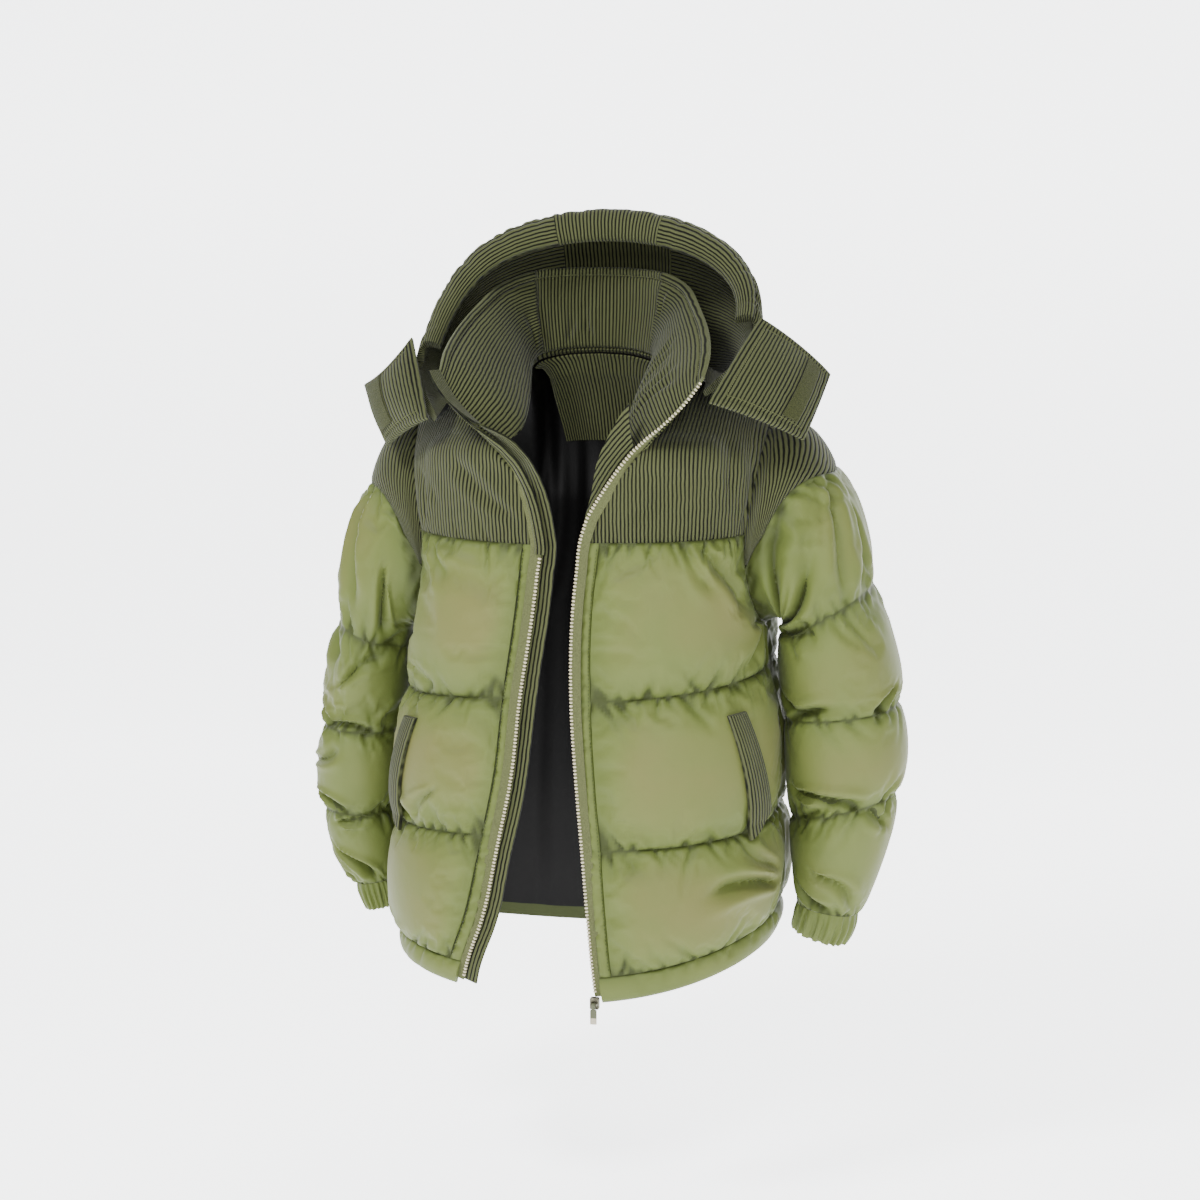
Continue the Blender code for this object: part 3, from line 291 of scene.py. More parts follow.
@lru_cache(maxsize=None)
def side_angle(side, face, row):
    """Where a row ends: on the armhole above the armpit, and on the side seam below. Face is -1 in front."""
    if row >= PIT_ROW:
        return on_side(side, 90.0)
    depth = ARMHOLE_DEPTH * np.sqrt(1 - (row / PIT_ROW) ** 2)
    angle = 90.0
    for _ in range(12):
        z = seam_height(np.asarray(on_side(side, angle)), np.asarray(float(row)))
        reach = smooth(BODY["z"], BODY["front" if face < 0 else "back"], z)
        angle = 90 + face * (90 - np.degrees(np.arccos((depth / reach) ** (RING_POWER / 2))))
    return on_side(side, float(angle))


def zip_edge(side, inset):
    """A panel's edge beside the zip: its angle by row."""
    return lambda row: edge_angle(side, row, inset)


def side_edge(side, face):
    """A panel's edge on its side: its angle by row."""
    return lambda row: side_angle(side, face, row)


def armhole_facing(side, turn):
    """The way that sleeve and body share along the armhole seam: outwards, and off the armhole's centre."""
    turn = np.radians(np.asarray(turn, float))
    return np.stack([0.6 * side + 0 * turn, 0.8 * np.sin(turn), 0.8 * np.cos(turn)], -1)


def grid_facing(points, centre):
    """Unit normals of a grid of points that face away from the centre."""
    normals = unit(np.cross(np.gradient(points, axis=0), np.gradient(points, axis=1)))
    return normals * np.sign(np.sum(normals * (points - centre)))


def lead_in(facing, edge_ways, shares, reach):
    """Turns a wall towards the way that it shares with its neighbour at an edge."""
    near = np.clip(1 - shares / reach, 0, 1)[..., None] ** 2
    return unit(facing * (1 - near) + edge_ways * near)


def spans(points):
    """Lengths along and across a grid, in metres, for the cloth's own pattern."""
    along = np.linalg.norm(np.diff(points, axis=1), axis=-1).mean(0)
    down = np.linalg.norm(np.diff(points, axis=0), axis=-1).mean(1)
    return np.meshgrid(np.append(0, np.cumsum(along)), np.append(0, np.cumsum(down)))


def pinches(along, off, seed, pitch=0.013, reach=0.026, depth=0.0058):
    """Short puckers that run off a seam: along is the length of the seam, and off the distance from it."""
    rng = np.random.default_rng(seed)
    total = np.zeros(np.broadcast(along, off).shape)
    for start in np.arange(along.min() - pitch, along.max() + pitch, pitch):
        start += rng.uniform(-0.4, 0.4) * pitch
        long, lean = reach * rng.uniform(0.3, 1.4), rng.uniform(-0.7, 0.7)
        wide, deep = pitch * rng.uniform(0.16, 0.30), depth * rng.uniform(0.2, 1.0)
        away = off / long
        across = (along - start - lean * off) / (wide * (1 + 0.9 * away))
        total -= deep * np.exp(-(across**2) - away**2)
    return total


SEAM_FADE = 0.003  # from a seam to where its puckers are at their full depth


def seam_puckers(along, off, seed, **kind):
    """Puckers where the distance off a seam is positive, and none on the seam itself."""
    if off.max() <= 0:
        return 0
    return pinches(along, np.clip(off, 0, None), seed, **kind) * np.clip(off / SEAM_FADE, 0, 1)


FOLD_BEND = 0.10  # of a fold's length
LIP_PLACE, LIP_HEIGHT = 1.9, 0.4  # in a fold's half widths, and of its depth


def creases(along, down, rows):
    """Listed folds, each a hollow between two lips that bends and fades towards its ends.

    Each row is a fold's first end, the second end, towards which it widens, its half width and its depth.
    """
    total = np.zeros(np.broadcast(along, down).shape)
    for k, (x0, y0, x1, y1, wide, deep) in enumerate(rows):
        way = np.array([x1 - x0, y1 - y0])
        length = np.hypot(*way)
        t = ((along - x0) * way[0] + (down - y0) * way[1]) / length**2
        off = ((along - x0) * way[1] - (down - y0) * way[0]) / length
        off = off - FOLD_BEND * length * (-1) ** k * np.sin(np.pi * np.clip(t, 0, 1))
        taper = np.exp(-(np.clip(np.abs(t - 0.40) - 0.25, 0, None) ** 2) / 0.05)
        spread = wide * (0.55 + 0.8 * np.clip(t, 0, 1))
        hollow = np.exp(-((np.abs(off) / spread) ** 1.35))
        lip = np.exp(-(((np.abs(off) - LIP_PLACE * spread) / spread) ** 2))
        total += taper * deep * (LIP_HEIGHT * lip - hollow)
    return total


def wrapped(grid, around=True):
    """A grid with its first column again at the end, where it closes round a tube."""
    return np.concatenate([grid, grid[:, :1]], 1) if around else grid


def quads(grid):
    """The four corners of each cell of a grid."""
    corners = (grid[:-1, :-1], grid[:-1, 1:], grid[1:, 1:], grid[1:, :-1])
    return np.stack([c.reshape(-1, *grid.shape[2:]) for c in corners], 1)


def refined(coarse, around):
    """Fills in a grid between each two of its points."""
    coarse = wrapped(coarse, around)
    for axis in (0, 1):
        coarse = np.moveaxis(coarse, axis, 0)
        fine = np.empty((2 * len(coarse) - 1, *coarse.shape[1:]))
        fine[::2], fine[1::2] = coarse, (coarse[1:] + coarse[:-1]) / 2
        coarse = np.moveaxis(fine, 0, axis)
    return coarse[:, :-1] if around else coarse


SETTLE_FRAMES = 20
SETTLE_PADDING = {
    "quality": 4,
    "mass": 0.15,
    "tension_stiffness": 25,
    "compression_stiffness": 25,
    "shear_stiffness": 8,
    "bending_stiffness": 0.12,
    "vertex_group_mass": "held",
    "use_pressure": True,
    "uniform_pressure_force": 4,
    "shrink_min": -0.03,
}


def settle(outer, facing, held, around=False, cap=0.010):
    """Lets the outer cloth swell and wrinkle between its held seams by no more than the cap.

    It is Blender's cloth simulation, run on every second point of the grid.
    """
    start = outer[::2, ::2]
    faces = quads(wrapped(np.arange(start[..., 0].size).reshape(start.shape[:2]), around))
    points = start.reshape(-1, 3)
    middle = faces[len(faces) // 2 + start.shape[1] // 2]
    outward = np.cross(points[middle[1]] - points[middle[0]], points[middle[2]] - points[middle[0]])
    if outward @ facing[::2, ::2].reshape(-1, 3)[middle[0]] < 0:
        faces = faces[:, ::-1]
    mesh = bpy.data.meshes.new("settling")
    mesh.from_pydata(points.tolist(), [], faces.tolist())
    thing = placed("settling", mesh)
    thing.vertex_groups.new(name="held").add(np.flatnonzero(held[::2, ::2]).tolist(), 1.0, "REPLACE")
    cloth = thing.modifiers.new("cloth", "CLOTH")
    for setting, value in SETTLE_PADDING.items():
        setattr(cloth.settings, setting, value)
    cloth.settings.effector_weights.gravity = 0
    cloth.collision_settings.use_collision = False
    cloth.point_cache.frame_start, cloth.point_cache.frame_end = 1, SETTLE_FRAMES
    for moment in range(1, SETTLE_FRAMES + 1):
        bpy.context.scene.frame_set(moment)
    settled = thing.evaluated_get(bpy.context.evaluated_depsgraph_get()).data
    moved = np.empty(points.size, np.float32)
    settled.vertices.foreach_get("co", moved)
    bpy.data.objects.remove(thing, do_unlink=True)
    bpy.data.meshes.remove(mesh)
    bpy.context.scene.frame_set(1)
    shift = moved.reshape(start.shape) - start
    length = np.linalg.norm(shift, axis=-1, keepdims=True)
    return outer + refined(shift * np.minimum(1, cap / np.maximum(length, 1e-9)), around)


DEEPEST_IN = 0.005  # that a fold may press a piece's inner face in


def creased(outer, inner, facing, folds, least=0.0014):
    """Presses folds into the outer face, and the inner face in where they would come nearer than least."""
    thick = np.sum((outer - inner) * facing, -1)
    folds = np.maximum(folds, -thick - DEEPEST_IN)
    press = np.minimum(folds + thick - least, 0)
    return outer + facing * folds[..., None], inner + facing * press[..., None]


# Painted shade: how much darker the satin's colour is painted for each metre of a fold's or pucker's depth.
FOLD_SHADE, PUCKER_SHADE = 38, 70  # for each metre of depth


def shaded(full, folds, puckers):
    """Painted light for the satin, from 0 to 1: how full the padding stands, with painted shade where its
    folds and puckers are hollows.
    """
    return np.clip(full + FOLD_SHADE * np.minimum(folds, 0) + PUCKER_SHADE * puckers, 0, 1)


HELD_REACH = 0.016  # of a row on each side of a seam


def held_lines(rows, seams, around=False):
    """Marks a panel's edges and quilting seams, which the padding doesn't lift."""
    held = np.abs(rows[..., None] - np.array(seams)).min(-1) < HELD_REACH
    held[0] = held[-1] = True
    if not around:
        held[:, 0] = held[:, -1] = True
    return held


SHARP_ANGLE = 55


def worn(name, mesh, surface):
    """A piece's object, which rides on the jacket and takes its slot from its material."""
    mesh.materials.append(surface)
    made = placed(name, mesh)
    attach(made, "jacket")
    return made


def add_piece(name, outer, inner, pattern, surface, nodes, around=False, full=None):
    """One closed piece of cloth between two grids of points, with its pattern's coordinates in metres."""
    rows, cols = outer.shape[:2]
    back = rows * cols
    place = wrapped(np.arange(back).reshape(rows, cols), around)
    marks = np.stack(pattern, -1)
    faces = [quads(place), quads(place)[:, ::-1] + back]
    marked = [quads(marks), quads(marks)[:, ::-1]]
    lines = [(place[0, ::-1], marks[0, ::-1]), (place[-1], marks[-1])]
    if not around:
        lines += [(place[:, 0], marks[:, 0]), (place[::-1, -1], marks[::-1, -1])]
    for line, at in lines:
        faces.append(np.stack([line[:-1], line[1:], line[1:] + back, line[:-1] + back], 1))
        marked.append(np.stack([at[:-1], at[1:], at[1:], at[:-1]], 1))
    faces, marked = np.concatenate(faces), np.concatenate(marked)
    points = np.concatenate([outer.reshape(-1, 3), inner.reshape(-1, 3)])
    corners = points[faces]
    volume = 0
    for k in (1, 2):
        volume += np.sum(corners[:, 0] * np.cross(corners[:, k], corners[:, k + 1]))
    if volume < 0:
        faces, marked = faces[:, ::-1], marked[:, ::-1]
    mesh = bpy.data.meshes.new(f"{name}_cloth")
    mesh.vertices.add(len(points))
    mesh.vertices.foreach_set("co", points.ravel())
    mesh.loops.add(faces.size)
    mesh.loops.foreach_set("vertex_index", faces.ravel().astype(np.int32))
    mesh.polygons.add(len(faces))
    mesh.polygons.foreach_set("loop_start", np.arange(0, faces.size, 4, dtype=np.int32))
    mesh.polygons.foreach_set("use_smooth", np.ones(len(faces), bool))
    mesh.update(calc_edges=True)
    mesh.uv_layers.new(name="pattern").data.foreach_set("uv", marked.reshape(-1, 2).ravel())
    # The full attribute carries painted light for the satin's colour: painted shade where it is low, a painted
    # warm reflection where it is high.
    if full is not None:
        both = np.concatenate([full.ravel(), 0 * full.ravel()])
        mesh.attributes.new("full", "FLOAT", "POINT").data.foreach_set("value", both.astype(np.float32))
    mesh.set_sharp_from_angle(angle=np.radians(SHARP_ANGLE))
    made = worn(f"{name}_cloth", mesh, surface)
    if nodes:
        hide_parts(*nodes)
    return made


def closed_in(points, around=False, gap=SEAM_HALF):
    """Moves the outer rows and columns in, so that two sewn pieces stand a seam gap apart."""
    moved = points.copy()
    moved[0] += gap * unit(points[1] - points[0])
    moved[-1] += gap * unit(points[-2] - points[-1])
    if not around:
        moved[:, 0] += gap * unit(points[:, 1] - points[:, 0])
        moved[:, -1] += gap * unit(points[:, -2] - points[:, -1])
    return moved


def raised(points, facing, height, around=False):
    """A piece's inner face, closed in at its seams, and its outer face at a height over it."""
    inner = closed_in(points, around)
    return inner, inner + facing * np.clip(height, THINNEST, None)[..., None]


def sewn(name, points, facing, height, pattern, surface, around=False, full=None):
    """One padded piece, of a height over its inner face, that stands for the node of its name."""
    inner, outer = raised(points, facing, height, around)
    return add_piece(name, outer, inner, pattern, surface, [name], around, full)


def new_material(name, base, roughness, sheen=0.0, metallic=0.0, specular=0.5, sheen_roughness=0.4):
    """A cloth or metal, with its slot, its tree and its shader."""
    made = bpy.data.materials.new(f"{name}_cloth")
    made["slot"] = name
    made.use_nodes = True
    shader = made.node_tree.nodes["Principled BSDF"]
    set_inputs(
        shader,
        Base_Color=(*base, 1),
        Roughness=roughness,
        Sheen_Weight=sheen,
        Sheen_Roughness=sheen_roughness,
        Metallic=metallic,
        Specular_IOR_Level=specular,
    )
    return made, made.node_tree, shader


def node(tree, kind, links=(), **settings):
    """Adds a node; links are (socket, another node's output), and settings are its own values."""
    made = tree.nodes.new(kind)
    for key, value in settings.items():
        if key.startswith("in_"):
            made.inputs[key[3:].replace("_", " ")].default_value = value
        else:
            setattr(made, key, value)
    for socket, source in links:
        tree.links.new(source, made.inputs[socket])
    return made


def multiply_add(tree, *terms):
    """The first term times the second plus the third, each a number or another node's output."""
    made = node(tree, "ShaderNodeMath", operation="MULTIPLY_ADD")
    for socket, term in zip(made.inputs, terms):
        if isinstance(term, bpy.types.NodeSocket):
            tree.links.new(term, socket)
        else:
            socket.default_value = term
    return made.outputs[0]


def bump(tree, shader, height, strength, distance):
    """Relief of a height from 0 to 1, for what is finer than the mesh."""
    made = node(tree, "ShaderNodeBump", [("Height", height)], in_Strength=strength, in_Distance=distance)
    tree.links.new(made.outputs["Normal"], shader.inputs["Normal"])


def colour_ramp(tree, shader, source, *stops):
    """Gives the shader a colour that runs through the stops as the source rises."""
    ramp = node(tree, "ShaderNodeValToRGB", [(0, source)])
    elements = ramp.color_ramp.elements
    elements[0].position, elements[0].color = stops[0][0], (*stops[0][1], 1)
    elements[1].position, elements[1].color = stops[-1][0], (*stops[-1][1], 1)
    for place, colour in stops[1:-1]:
        elements.new(place).color = (*colour, 1)
    tree.links.new(ramp.outputs["Color"], shader.inputs["Base Color"])


def cloth_grain():
    """A node group that all the cloths share: a soft mottle and a fine grain, each from 0 to 1."""
    group = bpy.data.node_groups.new("cloth_grain", "ShaderNodeTree")
    for name, value in (("Mottle Scale", 9.0), ("Grain Scale", 900.0)):
        group.interface.new_socket(name, in_out="INPUT", socket_type="NodeSocketFloat").default_value = value
    for name in ("Mottle", "Grain"):
        group.interface.new_socket(name, in_out="OUTPUT", socket_type="NodeSocketFloat")
    ins, outs = group.nodes.new("NodeGroupInput"), group.nodes.new("NodeGroupOutput")
    place = node(group, "ShaderNodeTexCoord").outputs["Object"]
    for name, detail in (("Mottle", 3.0), ("Grain", 2.0)):
        links = [("Vector", place), ("Scale", ins.outputs[f"{name} Scale"])]
        noise = node(group, "ShaderNodeTexNoise", links, in_Detail=detail, in_Roughness=0.55)
        group.links.new(noise.outputs["Fac"], outs.inputs[name])
    return group


grain_group = cloth_grain()


MOTTLE, GRAIN = 0, 1


def grain(tree, mottle, fine):
    """The shared group's mottle and fine grain, at two scales."""
    made = node(tree, "ShaderNodeGroup", node_tree=grain_group)
    set_inputs(made, Mottle_Scale=mottle, Grain_Scale=fine)
    return made.outputs["Mottle"], made.outputs["Grain"]


def two_tone(name, base, roughness, scales, by, dark, light, **looks):
    """A material that runs from dark to light by its mottle or by its grain."""
    made, tree, shader = new_material(name, base, roughness, **looks)
    noise = grain(tree, *scales)[by]
    colour_ramp(tree, shader, noise, (0.3, dark), (0.7, light))
    return made, tree, shader, noise


def satin_material():
    """Satin with painted light: its green is darkened as painted shade in seams, folds and puckers, and turns
    warmer as a painted reflection where the padding is full.
    """
    made, tree, shader = new_material(
        "satin", (0.10, 0.115, 0.02), 0.56, sheen=0.04, specular=0.18, sheen_roughness=0.45
    )
    mottle, fine = grain(tree, 8.0, 420.0)
    fullness = node(tree, "ShaderNodeAttribute", attribute_name="full").outputs["Fac"]
    # The full attribute is painted light: the ramp's dark stops paint shade in seams, folds and puckers, and
    # its warm last stop paints a reflection where the padding is full; the mottle that multiplies it is the
    # cloth's own random tone.
    colour_ramp(
        tree,
        shader,
        multiply_add(tree, mottle, fullness, 0.0),
        (0.0, (0.026, 0.034, 0.006)),
        (0.10, (0.066, 0.086, 0.018)),
        (0.30, (0.085, 0.104, 0.025)),
        (0.65, (0.100, 0.102, 0.029)),
    )
    place = node(tree, "ShaderNodeTexCoord").outputs["Object"]
    crinkle = node(tree, "ShaderNodeTexNoise", [("Vector", place)])
    set_inputs(crinkle, Scale=48.0, Detail=4.0, Distortion=0.6)
    bump(tree, shader, multiply_add(tree, fine, 0.10, crinkle.outputs["Fac"]), 0.22, 0.002)
    return made


satin = satin_material()

SWELL_START = 0.75  # of a baffle's swell, before the simulation adds the rest
PANEL_ROWS = np.linspace(0, 3, 151)
BAFFLE_HEIGHT = 0.165


def body_wall(start, end, levels, shares):
    """Points, ways out and rows over the body between two edges, each a function from a row to its angle."""
    starts, ends = (np.array([edge(row) for row in levels.tolist()])[:, None] for edge in (start, end))
    angles = starts + (ends - starts) * shares
    rows = np.broadcast_to(levels[:, None], angles.shape)
    return body_point(angles, rows), body_facing(angles, rows), rows


def quilted(rows, along, seed):
    """Puckers on both sides of every seam of a panel, of which row 3 is the hem seam."""
    total = 0
    for seam in range(4):
        for face in (-1, 1):
            total = total + seam_puckers(along, face * (rows - seam) * BAFFLE_HEIGHT, seed + 10 * seam + face)
    return total


ARMHOLE_LEAD = 0.12  # of a panel's width, over which its wall turns to the armhole's way


def side_ways(side, face, facing, rows, shares_from_side):
    """Turns a panel's wall the way of the armhole seam where it ends there."""
    level = np.clip(rows[:, 0] / PIT_ROW, 0, 1)
    ways = armhole_facing(side, face * np.degrees(np.arccos(-level)))
    below = np.clip(ARMHOLE_LEAD - (rows[:, :1] - PIT_ROW), 0.001, ARMHOLE_LEAD)
    reach = np.where(rows[:, :1] < PIT_ROW, ARMHOLE_LEAD, below)
    return lead_in(facing, ways[:, None], shares_from_side, reach)


def side_fall(rows):
    """How much of the swell is left at a panel's side: little beside the armhole."""
    return smooth([0, PIT_ROW, 1.0, 1.3, 3], [0.05, 0.05, 0.15, 0.45, 0.45], rows)


# Folds of each front: from and to, across from the zip and down from the yoke seam, half width, and depth
# before the panel's fold depth multiplies it.
FRONT_FOLDS = {
    1: (
        (0.150, 0.015, 0.205, 0.090, 0.011, 0.004),
        (0.125, 0.010, 0.165, 0.060, 0.008, 0.002),
        (0.205, 0.120, 0.150, 0.170, 0.009, 0.003),
        (0.185, 0.415, 0.100, 0.400, 0.008, 0.006),
        (0.190, 0.395, 0.145, 0.350, 0.007, 0.003),
        (0.010, 0.330, 0.055, 0.372, 0.007, 0.002),
        (0.010, 0.165, 0.040, 0.205, 0.007, 0.002),
    ),
    -1: (
        (0.130, 0.010, 0.080, 0.045, 0.008, 0.003),
        (0.135, 0.320, 0.095, 0.345, 0.007, 0.004),
        (0.060, 0.300, 0.090, 0.340, 0.006, 0.003),
        (0.120, 0.160, 0.070, 0.190, 0.007, 0.002),
        (0.140, 0.455, 0.090, 0.490, 0.008, 0.003),
    ),
}

BACK_FOLDS = (
    (0.05, 0.02, 0.11, 0.09, 0.010, 0.003),
    (0.40, 0.03, 0.34, 0.10, 0.011, 0.003),
    (0.04, 0.34, 0.12, 0.37, 0.008, 0.003),
    (0.43, 0.33, 0.35, 0.375, 0.008, 0.004),
    (0.20, 0.17, 0.24, 0.22, 0.009, 0.002),
    (0.06, 0.50, 0.13, 0.46, 0.009, 0.003),
)
ZIP_FALL = 0.25  # how much of the swell is left beside the zip


def shell_panel(name, cols, seed, folds, fold_depth, *edges):
    """One quilted panel between two edges.

    An edge is its angle by row, the side and face of the armhole that it follows, if any, and the share of
    the panel's width over which the swell rises from it.
    """
    shares = np.linspace(0, 1, cols)[None]
    points, facing, rows = body_wall(edges[0][0], edges[1][0], PANEL_ROWS, shares)
    along, down = spans(points)
    full = swell(rows % 1)
    for part, (_, armhole, reach) in zip((shares, 1 - shares), edges):
        if armhole:
            facing = side_ways(*armhole, facing, rows, part)
        full = full * ease(part, side_fall(rows) if armhole else ZIP_FALL, reach)
    puckers = quilted(rows, along, seed)
    inner, outer = raised(points, facing, WALL + SWELL_START * SHELL_PUFF * full + puckers)
    outer = settle(outer, facing, held_lines(rows, (1, 2)))
    hollows = fold_depth * creases(along, down, folds) * np.clip(full * 2, 0, 1)
    outer, inner = creased(outer, inner, facing, hollows)
    # Painted shade in the folds and puckers, over the padding's fullness, which the satin paints warm as a
    # reflection.
    shade = shaded(full, hollows, puckers)
    add_piece(name, outer, inner, (along, down), satin, [name], full=shade)


for side, name in ((1, "front_left"), (-1, "front_right")):
    edges = (zip_edge(side, PLACKET_WIDTH), None, 0.14), (side_edge(side, -1), (side, -1), 0.32)
    shell_panel(name, 111, 100 + side, FRONT_FOLDS[side], 2.2, *edges)
edges = [(side_edge(side, 1), (side, 1), 0.18) for side in (1, -1)]
shell_panel("back", 161, 300, BACK_FOLDS, 2, *edges)


# ---- placket strips and hem bands ----
# Narrow strips of the same satin, folded double: one beside each zip tape, stitched flat so that it puckers,
# and a band along the hem in three parts.


PLACKET_PUFF, HEM_PUFF = 0.003, 0.0045
HEM_HEIGHT = 0.03


def placket(side, name):
    shares = np.linspace(0, 1, 9)[None]
    points, facing, rows = body_wall(zip_edge(side, 0), zip_edge(side, PLACKET_WIDTH), PANEL_ROWS, shares)
    along, down = spans(points)
    full = swell(shares) * ease(swell(rows % 1), 0.4, 1)
    height = WALL + PLACKET_PUFF * full
    for face, edge in ((1, 0), (-1, 1)):
        off = np.abs(shares - edge) * PLACKET_WIDTH
        height = height + pinches(down, off, 500 + side + face, pitch=0.0085, reach=0.008, depth=0.0030)
    # Painted light: the strip's colour darkens at its edges as painted shade, and its middle takes less of the
    # warm painted reflection than the baffles.
    sewn(name, points, facing, height, (along, down), satin, full=full * 0.4)


def hem_band(name, start, end, cols, seed):
    points, facing, rows = body_wall(start, end, np.linspace(3, 4, 13), np.linspace(0, 1, cols)[None])
    along, down = spans(points)
    full = swell(rows - 3)
    height = WALL + HEM_PUFF * full
    height = height + pinches(along, (rows - 3) * HEM_HEIGHT, seed, pitch=0.012, reach=0.014, depth=0.0040)
    # Painted light: the band's colour darkens at its seams as painted shade, and its middle takes less of the
    # warm painted reflection than the baffles.
    sewn(name, points, facing, height, (along, down), satin, full=full * 0.5)


placket(1, "placket_left")
placket(-1, "placket_right")
for side, name in ((1, "hem_front_left"), (-1, "hem_front_right")):
    hem_band(name, zip_edge(side, 0), lambda row: on_side(side, 90.0), 76, 540 + side)
hem_band("hem_back", lambda row: 90.0, lambda row: 270.0, 131, 560)


# ---- sleeves and gathered cuffs ----
# Each sleeve is one tube of padded satin, quilted across by three seams; it hangs bent, so long folds run
# slantwise off its seams. The cuff is a thinner tube gathered on elastic.


SLEEVE_PUFF = 0.008
TUBE_POWER = 2.3
CUFF_SEAM = 4
CUFF_GIRTH, CUFF_DEPTH = 0.22, 0.04
CUFF_WALL, CUFF_GATHER, CUFF_PUFF = 0.0016, 0.0038, 0.0012
INSERT_END = 108
SLEEVE = {
    1: table(
        "s out_x out_z in_x in_z y depth",
        (0.00, 0.200, -0.047, 0.196, -0.268, 0.000, 0.086),
        (0.33, 0.243, -0.062, 0.212, -0.260, 0.001, 0.087),
        (0.66, 0.284, -0.128, 0.223, -0.268, 0.003, 0.084),
        (1.00, 0.312, -0.229, 0.219, -0.288, 0.006, 0.076),
        (2.00, 0.343, -0.364, 0.223, -0.380, 0.012, 0.066),
        (3.00, 0.341, -0.470, 0.231, -0.497, 0.016, 0.059),
        (4.00, 0.302, -0.613, 0.237, -0.602, 0.020, 0.036),
        (5.00, 0.288, -0.650, 0.233, -0.634, 0.022, 0.031),
    ),
    -1: table(
        "s out_x out_z in_x in_z y depth",
        (0.00, 0.200, -0.047, 0.196, -0.290, 0.000, 0.086),
        (0.33, 0.238, -0.078, 0.212, -0.282, 0.003, 0.087),
        (0.66, 0.272, -0.160, 0.224, -0.291, 0.007, 0.084),
        (1.00, 0.300, -0.283, 0.227, -0.314, 0.012, 0.074),
        (2.00, 0.328, -0.414, 0.243, -0.418, 0.026, 0.062),
        (3.00, 0.330, -0.520, 0.256, -0.522, 0.034, 0.055),
        (4.00, 0.300, -0.614, 0.254, -0.606, 0.036, 0.033),
        (5.00, 0.287, -0.646, 0.252, -0.638, 0.036, 0.029),
    ),
}


@lru_cache(maxsize=None)
def armhole_point(side, turn):
    """A point of the armhole: turn is 0 at its top, 90 at the back yoke seam and -90 at the front one."""
    face = -1 if turn < 0 else 1
    level = np.cos(np.radians(turn))
    if level <= 1e-9:
        row = float(-PIT_ROW * level)
        return body_point(side_angle(side, face, row), row)
    foot = body_point(side_angle(side, face, 0.0), 0.0)
    tip = np.array(SHOULDER_TIP) * (side, 1, 1)
    point = foot + (tip - foot) * level
    point[1] = foot[1] * np.sin(np.radians(abs(turn)))
    return point


def sleeve_ring(side, turns, rows):
    """A point of a sleeve's rings, before the first stretch is led to the armhole."""
    sections = SLEEVE[side]
    out = smooth(sections["s"], columns(sections, "out_x", "out_z"), rows)
    inn = smooth(sections["s"], columns(sections, "in_x", "in_z"), rows)
    y, depth = (smooth(sections["s"], sections[c], rows) for c in ("y", "depth"))
    around = power(np.cos(np.radians(turns)), 2 / TUBE_POWER)
    beside = power(np.sin(np.radians(turns)), 2 / TUBE_POWER)
    flat = (out + inn) / 2 + (out - inn) / 2 * around[..., None]
    return np.stack([side * flat[..., 0], y + depth * beside, flat[..., 1]], -1)


def sleeve_point(side, turns, rows):
    """A point of a sleeve's inner surface, led to the armhole over the first stretch."""
    turns, rows = np.broadcast_arrays(np.asarray(turns, float), np.asarray(rows, float))
    line = np.array([armhole_point(side, (turn + 180) % 360 - 180) for turn in turns[0].tolist()])
    lead = np.clip(1 - rows / 0.9, 0, 1)[..., None] ** 1.5
    first = sleeve_ring(side, turns, np.zeros_like(rows))
    return sleeve_ring(side, turns, rows) + lead * (line[None] - first)


def sleeve_facing(side, turns, rows):
    """The way out of a sleeve, turned to the seam's own way at the armhole and level at the cuff seam."""
    turns, rows = np.broadcast_arrays(np.asarray(turns, float), np.asarray(rows, float))
    around = sleeve_point(side, turns + 3, rows) - sleeve_point(side, turns - 3, rows)
    low, high = np.clip(rows - 0.03, 0, 5), np.clip(rows + 0.03, 0, 5)
    along = sleeve_point(side, turns, high) - sleeve_point(side, turns, low)
    facing = unit(np.cross(around, along)) * -side
    blend = np.clip(1 - rows / 0.12, 0, 1)[..., None]
    level = np.clip(1 - abs(rows - CUFF_SEAM) / 0.05, 0, 1)[..., None]
    ring = sleeve_ring(side, turns, rows)
    out = unit(ring - ring.mean(axis=-2, keepdims=True))
    return unit(facing * (1 - blend) * (1 - level) + armhole_facing(side, turns) * blend + out * level)


def insert_reach(turns):
    """How far the corduroy insert runs down the sleeve."""
    turns = np.abs((np.asarray(turns, float) + 180) % 360 - 180)
    upper = 0.20 + 0.34 * np.cos(np.radians(np.minimum(turns, 90))) ** 1.2
    tip = np.interp(turns, [90, INSERT_END], [0.20, 0.03])
    return np.where(turns <= 90, upper, np.where(turns <= INSERT_END, tip, 0.0))


